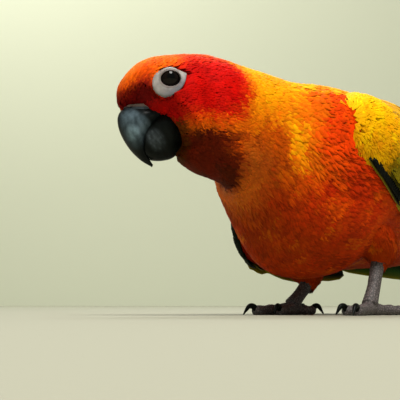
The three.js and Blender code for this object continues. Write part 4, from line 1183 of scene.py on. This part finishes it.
def join_vanes(name, vanes, roots_at):
    """All the vanes of one piece as one mesh, with a patch on the OFBake map for each at its root's
    place."""
    points, faces, tints, maps, patches_at = [], [], [], [], []
    start = 0
    for (spots, quads, colours, own_map, in_vane), (root_u, root_v) in zip(vanes, roots_at):
        points.append(spots)
        faces.append(quads + start)
        tints.append(colours)
        maps.append(own_map)
        spot = np.array([root_u, root_v]) + (in_vane - (0, 0.5)) * (BAKE_PATCH / 2, BAKE_PATCH)
        patches_at.append(np.concatenate([spot, spot]))
        start += len(spots)
    made = mesh_object(name, np.concatenate(points), np.concatenate(faces))
    wind_outward(made)
    tint(made, np.clip(np.concatenate(tints), 0, 1))
    corners = corner_vertices(made)
    bake_map(made, np.concatenate(patches_at)[corners])
    layer = made.data.uv_layers.new(name="Barbs")
    layer.data.foreach_set("uv", np.concatenate(maps)[corners].ravel())
    return made


# Outlines, as the share of the full width by the share of the length.
pointed = along([(0, 0.35), (0.15, 0.8), (0.45, 1.0), (0.8, 0.86), (0.93, 0.6), (1, 0.18)])
rounded = along([(0, 0.4), (0.2, 0.85), (0.5, 1.0), (0.8, 0.98), (0.94, 0.72), (1, 0.25)])


def graded(base, tip, edge, dark):
    """Colours of a flight feather: base to tip, a light edge to its outer web, and a dark shaft line."""
    def colour(t, across):
        out = fade(t, 0.35, 0.95)[..., None]
        shade = hex_colour(base) * (1 - out) + hex_colour(tip) * out
        shade = blend(shade, edge, 0.85 * fade(-across, 0.45, 0.95))
        return blend(shade, dark, 0.6 * np.exp(-((across / SHAFT_WIDE) ** 2)) + 0.35 * fade(t, 0.8, 1.0))
    return colour


PRIMARY_TIPS = along([(0, 143), (0.2, 149), (0.5, 141), (0.75, 129), (1, 116)])
# Rows from the lowest layer up: number; root and tip, each by distance back and degrees up at the row's
# lowest and highest feather; width, height of the tip, outline; and the graded colours of its lowest and
# highest feather.
WING_ROWS = [
    ("primary", 10, (40, 40, -23, 26), (143, 116, -10, 52), 9.0, 1.3, pointed,
     ("#3F7A1E", "#0E2A3A", "#C8C020", "#0A1410"), ("#5A8A1C", "#123040", "#B8B820", "#0A1410")),
    ("secondary", 9, (36, 36, 4, 60), (99, 82, 6, 74), 11.5, 3.0, rounded,
     ("#4E7E18", "#1C4418", "#D0C41C", "#101A0C"), ("#B4A814", "#5E7A14", "#F0C41C", "#2A3008")),
    ("primary_covert", 7, (6, 6, -31, -10), (50, 58, -27, 2), 7.6, 2.6, pointed,
     ("#0C2410", "#08161A", "#C8B81C", "#04080A"), ("#1E3A10", "#0C2020", "#B0B01C", "#060A08")),
    ("greater_covert", 9, (12, 12, -2, 55), (52, 48, 10, 66), 11.0, 4.4, rounded,
     ("#8E8A10", "#5E6E0C", "#D8BC18", "#3A4008"), ("#E8A810", "#D8A010", "#FFC820", "#8A6A08")),
    ("median_covert", 9, (-2, -2, -14, 48), (27, 30, -14, 58), 11.5, 5.2, rounded,
     ("#8E7A08", "#6E6A08", "#C8B010", "#4A4404"), ("#FFB010", "#F0A810", "#FFD02A", "#B08008")),
    ("alula", 2, (-10.5, -9.5, -24, -23), (10, 13, -34.5, -32), 3.0, 3.6, pointed,
     ("#070A05", "#050805", "#A08E08", "#030403"), ("#070A05", "#050805", "#0A0E06", "#030403")),
]
SHINGLE_STEP = 0.62  # millimetres that each feather rises over the next
TIP_STRAY = 1.2  # millimetres that a tip strays from its row's line


def girth(x):
    """The mean radius of the form that carries the wings."""
    return (carrier_side(x) + carrier_top(x)) / 2


def wing_vanes(sign, draw):
    vanes, roots_at = [], []
    for name, count, root, tip, wide, lift, outline, low_hexes, high_hexes in WING_ROWS:
        if name == "alula" and sign < 0:
            continue  # folded in under the slipped wing
        low_colour, high_colour = graded(*low_hexes), graded(*high_hexes)
        beside = [(end[3] - end[2]) / (count - 1) for end in (root, tip)]
        for i in range(count):
            share = i / (count - 1)
            (x0, a0), (x1, a1) = ((mix(*end[:2], share), mix(*end[2:], share)) for end in (root, tip))
            if name == "primary":
                x1 = float(PRIMARY_TIPS(share))
            stray = draw.uniform(-TIP_STRAY, TIP_STRAY)
            if name not in ("primary", "alula"):
                x1 += stray
            run = x1 - x0
            climb = math.radians(a1 - a0) * float(girth(mix(x0, x1, 0.5)))
            length = math.hypot(run, climb)
            start = float(pad_lift(x0, a0)) + (1.7 if name == "alula" else -0.5)

            def place(t, across, high):
                x = x0 + run * t - across * climb / length
                angle = mix(a0, a1, t) + np.degrees(across * run / length / girth(x))
                gap = np.radians(mix(*beside, t)) * girth(x)
                tilt = np.minimum(SHINGLE_STEP / gap, 0.5) * np.minimum(1, 0.3 + t * 2)
                axis = mix(start, lift, np.minimum(1, t * 2.4))
                return on_wing(x, angle, axis - tilt * across + high, sign)

            def colour(t, across):
                blotch = 1 + 0.10 * draw.normal()
                return mix(low_colour(t, across), high_colour(t, across), share) * blotch

            vanes.append(vane(place, length, wide * draw.uniform(0.94, 1.06), outline, draw, colour))
            chart_u = (0.72 if sign > 0 else 0.86) + 0.12 * (x0 + 20) / 90
            roots_at.append((chart_u, 0.05 + 0.9 * (a0 + 40) / 130))
    return vanes, roots_at


# Close-barbed keratin, grown and preened flat: smooth, slightly silky vanes, with barbs that run from the
# shaft towards the tip and show as fine slanting lines.
stiff_feather, tree = material("feather keratin, close barbs")
BARB_GAP = 1.0  # millimetres; real barbs are about 0.3 apart, which is too fine to show here
own = add(tree, "ShaderNodeUVMap", {"uv_map": "Barbs"})
split = add(tree, "ShaderNodeSeparateXYZ", Vector=own.outputs["UV"])
out = add(tree, "ShaderNodeMath", {"operation": "ABSOLUTE"}, at0=split.outputs["X"])
slant = add(tree, "ShaderNodeMath", {"operation": "MULTIPLY_ADD", 1: -1.1}, at0=out.outputs[0],
            at2=split.outputs["Y"])
line = add(tree, "ShaderNodeCombineXYZ", X=slant.outputs[0])
barbs = add(tree, "ShaderNodeTexWave", {"Scale": WAVE_PERIOD / BARB_GAP, "Distortion": 1.2, "Detail": 1.0},
            Vector=line.outputs["Vector"])
place = add(tree, "ShaderNodeTexCoord")
mottle = add(tree, "ShaderNodeTexNoise", {"Scale": 1000 / MOTTLE, "Detail": 4.0},
             Vector=place.outputs["Object"])
both = add(tree, "ShaderNodeMath", {"operation": "MULTIPLY_ADD", 1: 0.35}, at0=barbs.outputs["Fac"],
           at2=mottle.outputs["Fac"])
finish_tinted(tree, both.outputs[0], (0.2, 1.1, 0.78, 1.12), {"Roughness": 0.45, "Specular IOR Level": 0.1},
              {"Strength": 0.8, "Distance": 0.00025}, barbs.outputs["Fac"])

EDGE_LAP = 6.5  # degrees that the left wing's front edge laps the breast
for side_name, sign in BOTH_SIDES:
    draw = np.random.default_rng(7 if sign > 0 else 8)
    vanes, roots_at = wing_vanes(sign, draw)
    flight = join_vanes(f"flight_feathers_{side_name}", vanes, roots_at)
    flight.data.materials.append(stiff_feather)
    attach(flight, "root")
    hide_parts(f"wing_{side_name}")
    # Small coverts: short, soft feathers in rows over the folded arm, rooted in its skin. They are
    # golden, olive towards the lower edge, and darkest at the wing's front edge, where the primary
    # coverts show behind a rim.
    x, share = np.meshgrid(np.linspace(-16.4, 34, 90), np.linspace(0.02, 0.98, 60), indexing="ij")
    angle = wing_low(x) + (wing_high(x) - wing_low(x)) * share
    lap = EDGE_LAP * (1 - share) ** 6 * fade(x, -16, -13) * (1 - fade(x, 6, 16)) * (sign > 0)
    arm = on_wing(x, angle - lap, pad_lift(x, angle + 0.7 * lap) - COVERT_DEPTH, sign)
    blotch, fine = patches(arm, 9, 5.0), patches(arm, 4, 1.0)
    olive = fade(0.34 - share + 0.07 * blotch, 0.0, 0.14) * fade(x, -9, -3)
    if sign > 0:
        from_mark = np.abs(angle - lap + 24 + 0.66 * (x + 9.2))
        marks = [("#0B1206", (1 - fade(from_mark, 0.8, 2.2)) * fade(x, -10.0, -8.5))]
    else:
        marks = [("#0B1206", (1 - fade(share, 0.16, 0.22)) * (1 - fade(x, -3.2, -1.8))),
                 ("#7A6C08", (1 - fade(share, 0.18, 0.24)) * fade(x, -2.6, -1.6) * (1 - fade(x, 0.5, 2)))]
    colours = painted(
        "#FFB000",
        ("#FFB600", (1 - fade(x + 3 * blotch, 2, 16)) * fade(share, 0.2, 0.45)),
        ("#A88600", olive),
        ("#423E00", fade(0.34 - share + 0.05 * blotch, 0.0, 0.12) * fade(x, -7, -1)),
        ("#E0780A", 0.4 * fade(fine + blotch, 0.7, 1.3) * (1 - olive)),
        *marks,
    )
    colours = colours * (1 + 0.1 * fine)[..., None]
    chart = (0.72, 0.84, 0.05, 0.95) if sign > 0 else (0.86, 0.98, 0.05, 0.95)
    sheet = surface(arm, False, colours, chart)
    axis = on_wing(x, angle - lap, pad_lift(x, angle) + 2, sign) - arm
    if (axis * sheet["normals"]).sum() < 0:
        sheet["normals"] = -sheet["normals"]
    own = scatter(sheet, lambda row: 1.5 + 0.011 * row, draw, 0.5, 74)
    number = len(own)
    along_arm = own[:, 0] / 90
    piece = lay_feathers(
        f"small_coverts_{side_name}", sheet, own,
        (4.2 + 4.2 * along_arm) * draw.uniform(0.85, 1.15, number),
        (2.4 + 2.2 * along_arm) * draw.uniform(0.85, 1.15, number),
        COVERT_DEPTH * draw.uniform(0.8, 1.25, number),
        draw.normal(0, 6, number), draw.uniform(0.1, 0.8, number), draw)
    piece.data.materials.append(soft_feather)
    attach(piece, "root")


# Tail. Twelve long graduated feathers, the middle pair longest and uppermost, rooted in the rump and
# bound there by short coverts above and below. They are olive green above, with bluish ends.

TAIL_ROOT = (68.0, 30.4)  # back and up
TAIL_LENGTHS = (134, 121, 108, 96, 85, 75)  # from the middle pair out
TAIL_DROP, TAIL_LAYER = math.radians(8.4), 0.92  # its slope, and millimetres from one pair down to the next
draw = np.random.default_rng(19)
vanes, roots_at = [], []
for pair in reversed(range(len(TAIL_LENGTHS))):
    for sign in (1, -1):
        share = pair / (len(TAIL_LENGTHS) - 1)
        long = TAIL_LENGTHS[pair]
        root_y, tip_y = sign * mix(2.2, 6.5, share), sign * mix(2.6, 11.5, share)
        layer = -pair * TAIL_LAYER - (0 if sign < 0 else TAIL_LAYER / 2)

        def place(t, across, high):
            y = mix(root_y, tip_y, t) + across
            sag = 0.016 * y * y + 3 * t * (1 - t)
            height = TAIL_ROOT[1] - long * t * math.sin(TAIL_DROP) - sag + layer
            return lean(np.stack([TAIL_ROOT[0] + long * t * math.cos(TAIL_DROP), y, height + high], -1))

        base, tip = ("#8C9A1E", "#2C5A66") if pair < 3 else ("#7A7A18", "#3A6A5A")
        colours = graded(base, tip, "#A8A020", "#1A2410")
        vanes.append(vane(place, long, mix(10.8, 9.2, share), pointed, draw, colours, 22))
        roots_at.append((0.66, 0.5 + 0.3 * share + 0.02 * sign))
tail = join_vanes("tail_feathers", vanes, roots_at)
tail.data.materials.append(stiff_feather)
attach(tail, "root")
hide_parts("tail")

# Tail coverts: short, loose-barbed feathers, rooted round the rump, that lie over the tail's root and
# hide it.
TAIL_SIDES = 48
rings = []
for x, z, reach in ((70.0, 28.9, (8.3, 6.1, 5.5)), (83, 26.4, (7.7, 3.7, 4.1)), (94, 24.4, (6.9, 1.9, 2.7)),
                    (103, 22.9, (4.7, 0.4, 1.1))):
    out, high = np.array([0, -1.0, 0]), np.array([0, 0, 1.0])
    rings.append(lean(section((x, 0, z), out, high, (*reach, 1), TAIL_SIDES)))
covert_rings = smooth_rings(rings, 10)
turn = np.arange(TAIL_SIDES) * 2 * math.pi / TAIL_SIDES
colours = painted("#C8A014", ("#8A9A1A", fade(np.arange(len(covert_rings)) / 30, 0.2, 0.9)[:, None]),
                  ("#C88A10", fade(-np.sin(turn), 0.0, 0.6)[None]))
sheet = outward(surface(covert_rings, True, colours, (0.62, 0.70, 0.42, 0.49)))
own = scatter(sheet, lambda row: 2.2, draw, 0.0, 20)
number = len(own)
tail_coverts = lay_feathers(
    "tail_coverts", sheet, own, draw.uniform(11, 15, number), draw.uniform(4.2, 5.4, number),
    draw.uniform(0.5, 1.0, number), draw.normal(0, 4, number), draw.uniform(0.1, 0.6, number), draw)
tail_coverts.data.materials.append(soft_feather)
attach(tail_coverts, "root")


# Feet. Short bare shanks and four toes each, two forward and two back, in grey leathery skin: plates
# along the top of each toe, pads under its joints. The claws are separate black horn, each grown on the
# last bone of its toe.

FOOT = np.array([5.0, 16.0])  # back and out
SHANK_RADIUS = 2.5
FOOT_GRAIN = 0.00028  # the remesh's cell, in metres
# Degrees round from straight ahead, length, radius at the root and at the end, and length of the claw.
TOES = ((-12, 12.5, 2.3, 1.9, 6.4), (16, 17.5, 2.4, 1.9, 7.0), (160, 15.5, 2.3, 1.8, 6.6),
        (205, 9.5, 2.1, 1.7, 6.0))
SCUTE = 1.25  # millimetres from one plate to the next
SCUTE_DEPTH = 0.12  # how deep the groove between them is, as a share of the radius


def limb(line, radii, sides=20, rib=0.0):
    """A tube along a line of points, ribbed with plates where rib is given."""
    line = np.asarray(line, float)
    spine = smooth_rings(line[:, None, :], 10)[:, 0]
    reach = smooth_rings(np.asarray(radii, float)[:, None, None], 10)[:, 0, 0]
    ahead = unit(np.gradient(spine, axis=0))
    side = unit(np.cross(np.array([0, 0, 1.0]), ahead))
    rise = np.cross(ahead, side)
    turn = np.arange(sides) * 2 * math.pi / sides
    gone = np.concatenate([[0], np.cumsum(np.linalg.norm(np.diff(spine, axis=0), axis=1))])
    wave = np.abs(np.sin(math.pi * gone / SCUTE)) ** 0.6
    top = np.clip(np.sin(turn), 0, 1) ** 0.5
    size = reach[:, None] * (1 - rib * (1 - wave[:, None]) * top[None])
    return spine[:, None] + size[..., None] * (
        np.cos(turn)[None, :, None] * side[:, None] + np.sin(turn)[None, :, None] * rise[:, None])


# Scaled skin, grown and dry: matt and leathery, in small pale scales with dark grooves between them.
foot_skin, tree = material("scaled foot skin, leathery")
SCALE_SIZE = 0.9  # millimetres across a scale
place = add(tree, "ShaderNodeTexCoord")
edges = add(tree, "ShaderNodeTexVoronoi", {"Scale": 1000 / SCALE_SIZE, "feature": "DISTANCE_TO_EDGE"},
            Vector=place.outputs["Object"])
tones = add(tree, "ShaderNodeValToRGB", Fac=edges.outputs["Distance"])
set_stops(tones, (0.0, "#2E2A2A"), (0.25, "#6A6260"))
bump = add(tree, "ShaderNodeBump", {"Strength": 0.6, "Distance": 0.0003}, Height=edges.outputs["Distance"])
shader = add(tree, "ShaderNodeBsdfPrincipled", {"Roughness": 0.6}, Base_Color=tones.outputs["Color"],
             Normal=bump.outputs["Normal"])
add(tree, "ShaderNodeOutputMaterial", Surface=shader.outputs["BSDF"])

for side_name, sign in BOTH_SIDES:
    ankle = lean(ANKLE * (1, -sign, 1))
    sole = np.array([FOOT[0], -sign * FOOT[1], 3.6])
    shank = limb([ankle + (1, 0, 1), ankle + (-1.5, 0, -1), mix(ankle, sole, 0.6), sole],
                 [2.9, SHANK_RADIUS, SHANK_RADIUS * 0.95, SHANK_RADIUS * 1.15], rib=SCUTE_DEPTH)
    parts = [tube(f"shank_{side_name}", shank)]
    claws = []
    for degrees, long, thick, thin, claw in TOES:
        way = turned((-1, 0, 0), (0, 0, 1), sign * degrees)
        base = np.array([FOOT[0], -sign * FOOT[1], 0.0])
        shares = np.array([0, 0.24, 0.4, 0.58, 0.72, 0.88, 1])
        pads = np.array([1.05, 1.0, 0.84, 1.0, 0.84, 1.0, 0.8])
        line = base + way * (long * shares)[:, None] + np.outer(mix(2.35, 1.55, shares ** 0.5), (0, 0, 1))
        toe = limb(line, mix(thick, thin, shares) * pads, rib=SCUTE_DEPTH)
        parts.append(tube(f"toe_{side_name}_{degrees}", toe))
        shares = np.array([0, 0.25, 0.55, 0.82, 1])
        high = 1.9 + 1.7 * np.sin(math.pi * np.minimum(shares * 1.05, 1)) - 1.7 * shares ** 2
        line = base + way * (long - 1 + claw * 0.82 * shares)[:, None] + np.outer(high, (0, 0, 1))
        claws.append(tube(f"claw_{side_name}_{degrees}", limb(line, [1.15, 1.05, 0.85, 0.5, 0.18])))
    for name, group, finish, slot in (
        (f"foot_skin_{side_name}", parts, foot_skin, "foot_skin"),
        (f"claws_{side_name}", claws, horn, "bill_horn"),
    ):
        whole = join(group)
        whole.name = name
        if slot == "foot_skin":
            settle(whole, "REMESH", mode="VOXEL", voxel_size=FOOT_GRAIN, use_smooth_shade=True)
            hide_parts(f"foot_{side_name}")
        else:
            tint(whole, [hex_colour(HORN_BLACK)] * len(whole.data.vertices))
        spots = millimetres(whole)
        spots[:, 2] = np.maximum(spots[:, 2], 0)  # the soles stand flat on the floor
        whole.data.vertices.foreach_set("co", to_metres(spots).ravel())
        whole.data.materials.clear()
        whole.data.materials.append(finish)
        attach(whole, "root")


# Setting. A pale floor and a pale wall behind the bird, both flat and painted. One large soft light hangs
# above and ahead of its left side, a weaker one above and behind its right side, and a third is aimed at
# the wall.

# Emulsion paint, rolled on: matt and even, with the shallow dimples that a roller leaves.
PAINT_GRAIN = 1.1  # millimetres between dimples
for name, finish, colour, corners in (
    ("floor", "matt emulsion paint, rolled", "#9C9C8A", [(-4, -4, 0), (4, -4, 0), (4, 4, 0), (-4, 4, 0)]),
    ("wall", "matt emulsion paint on plaster", "#D2D6C0",
     [(2.1, -2.2, -0.01), (0.3, 3.0, -0.01), (0.3, 3.0, 2.2), (2.1, -2.2, 2.2)]),
):
    paint, tree = material(finish)
    place = add(tree, "ShaderNodeTexCoord")
    grain = add(tree, "ShaderNodeTexNoise", {"Scale": 1000 / PAINT_GRAIN, "Detail": 4.0},
                Vector=place.outputs["Object"])
    bump = add(tree, "ShaderNodeBump", {"Strength": 0.05, "Distance": 0.0005}, Height=grain.outputs["Fac"])
    shader = add(tree, "ShaderNodeBsdfPrincipled", {"Base Color": linear(colour), "Roughness": 0.9},
                 Normal=bump.outputs["Normal"])
    add(tree, "ShaderNodeOutputMaterial", Surface=shader.outputs["BSDF"])
    mesh = bpy.data.meshes.new(name)
    mesh.from_pydata(corners, [], [(0, 1, 2, 3)])
    board = bpy.data.objects.new(name, mesh)
    board.data.materials.append(paint)
    bpy.context.scene.collection.objects.link(board)

world = bpy.data.worlds.new("soft studio")
bpy.context.scene.world = world
world.use_nodes = True
world.node_tree.nodes["Background"].inputs["Color"].default_value = linear("#F4F2EC")
world.node_tree.nodes["Background"].inputs["Strength"].default_value = 0.33
# the plumage stays as saturated as it is to the eye
bpy.context.scene.view_settings.view_transform = "Standard"


def softbox(name, at, aim, size, watts, colour):
    """A round soft light, its size in metres."""
    light = bpy.data.lights.new(name, "AREA")
    light.shape = "DISK"
    light.size = size
    light.energy = watts
    light.color = hex_colour(colour)
    lamp = bpy.data.objects.new(name, light)
    lamp.location = at
    lamp.rotation_euler = (Vector(aim) - Vector(at)).to_track_quat("-Z", "Y").to_euler()
    bpy.context.scene.collection.objects.link(lamp)


bird_middle = (-0.06, 0.0, 0.05)
softbox("key", (-0.42, -0.38, 0.85), bird_middle, 0.40, 10.5, "#FFFBF4")
softbox("back", (0.30, 0.25, 0.8), bird_middle, 0.5, 3.6, "#FFFFFF")
softbox("wall light", (0.35, 1.1, 1.2), (1.0, 1.0, 0.2), 0.6, 14.0, "#FFFEF6")

# Camera: low in front of the bird's left side, a little above the floor and looking slightly up, 350 mm
# from the eye.
CAMERA_AT = Vector(to_metres((-336.71, -212.79, 4.0)))
CAMERA_AHEAD = Vector((0.7800, 0.6192, 0.0914))
SENSOR = 36  # millimetres
FOCAL_PIXELS, PHOTO_PIXELS = 1129, 400  # the photo's focal length and width
camera_data = bpy.data.cameras.new("camera")
camera_data.sensor_width = SENSOR
camera_data.lens = SENSOR * FOCAL_PIXELS / PHOTO_PIXELS
camera_data.clip_start = 0.01
camera = bpy.data.objects.new("camera", camera_data)
camera.location = CAMERA_AT
camera.rotation_euler = CAMERA_AHEAD.to_track_quat("-Z", "Y").to_euler()
bpy.context.scene.collection.objects.link(camera)
bpy.context.scene.camera = camera
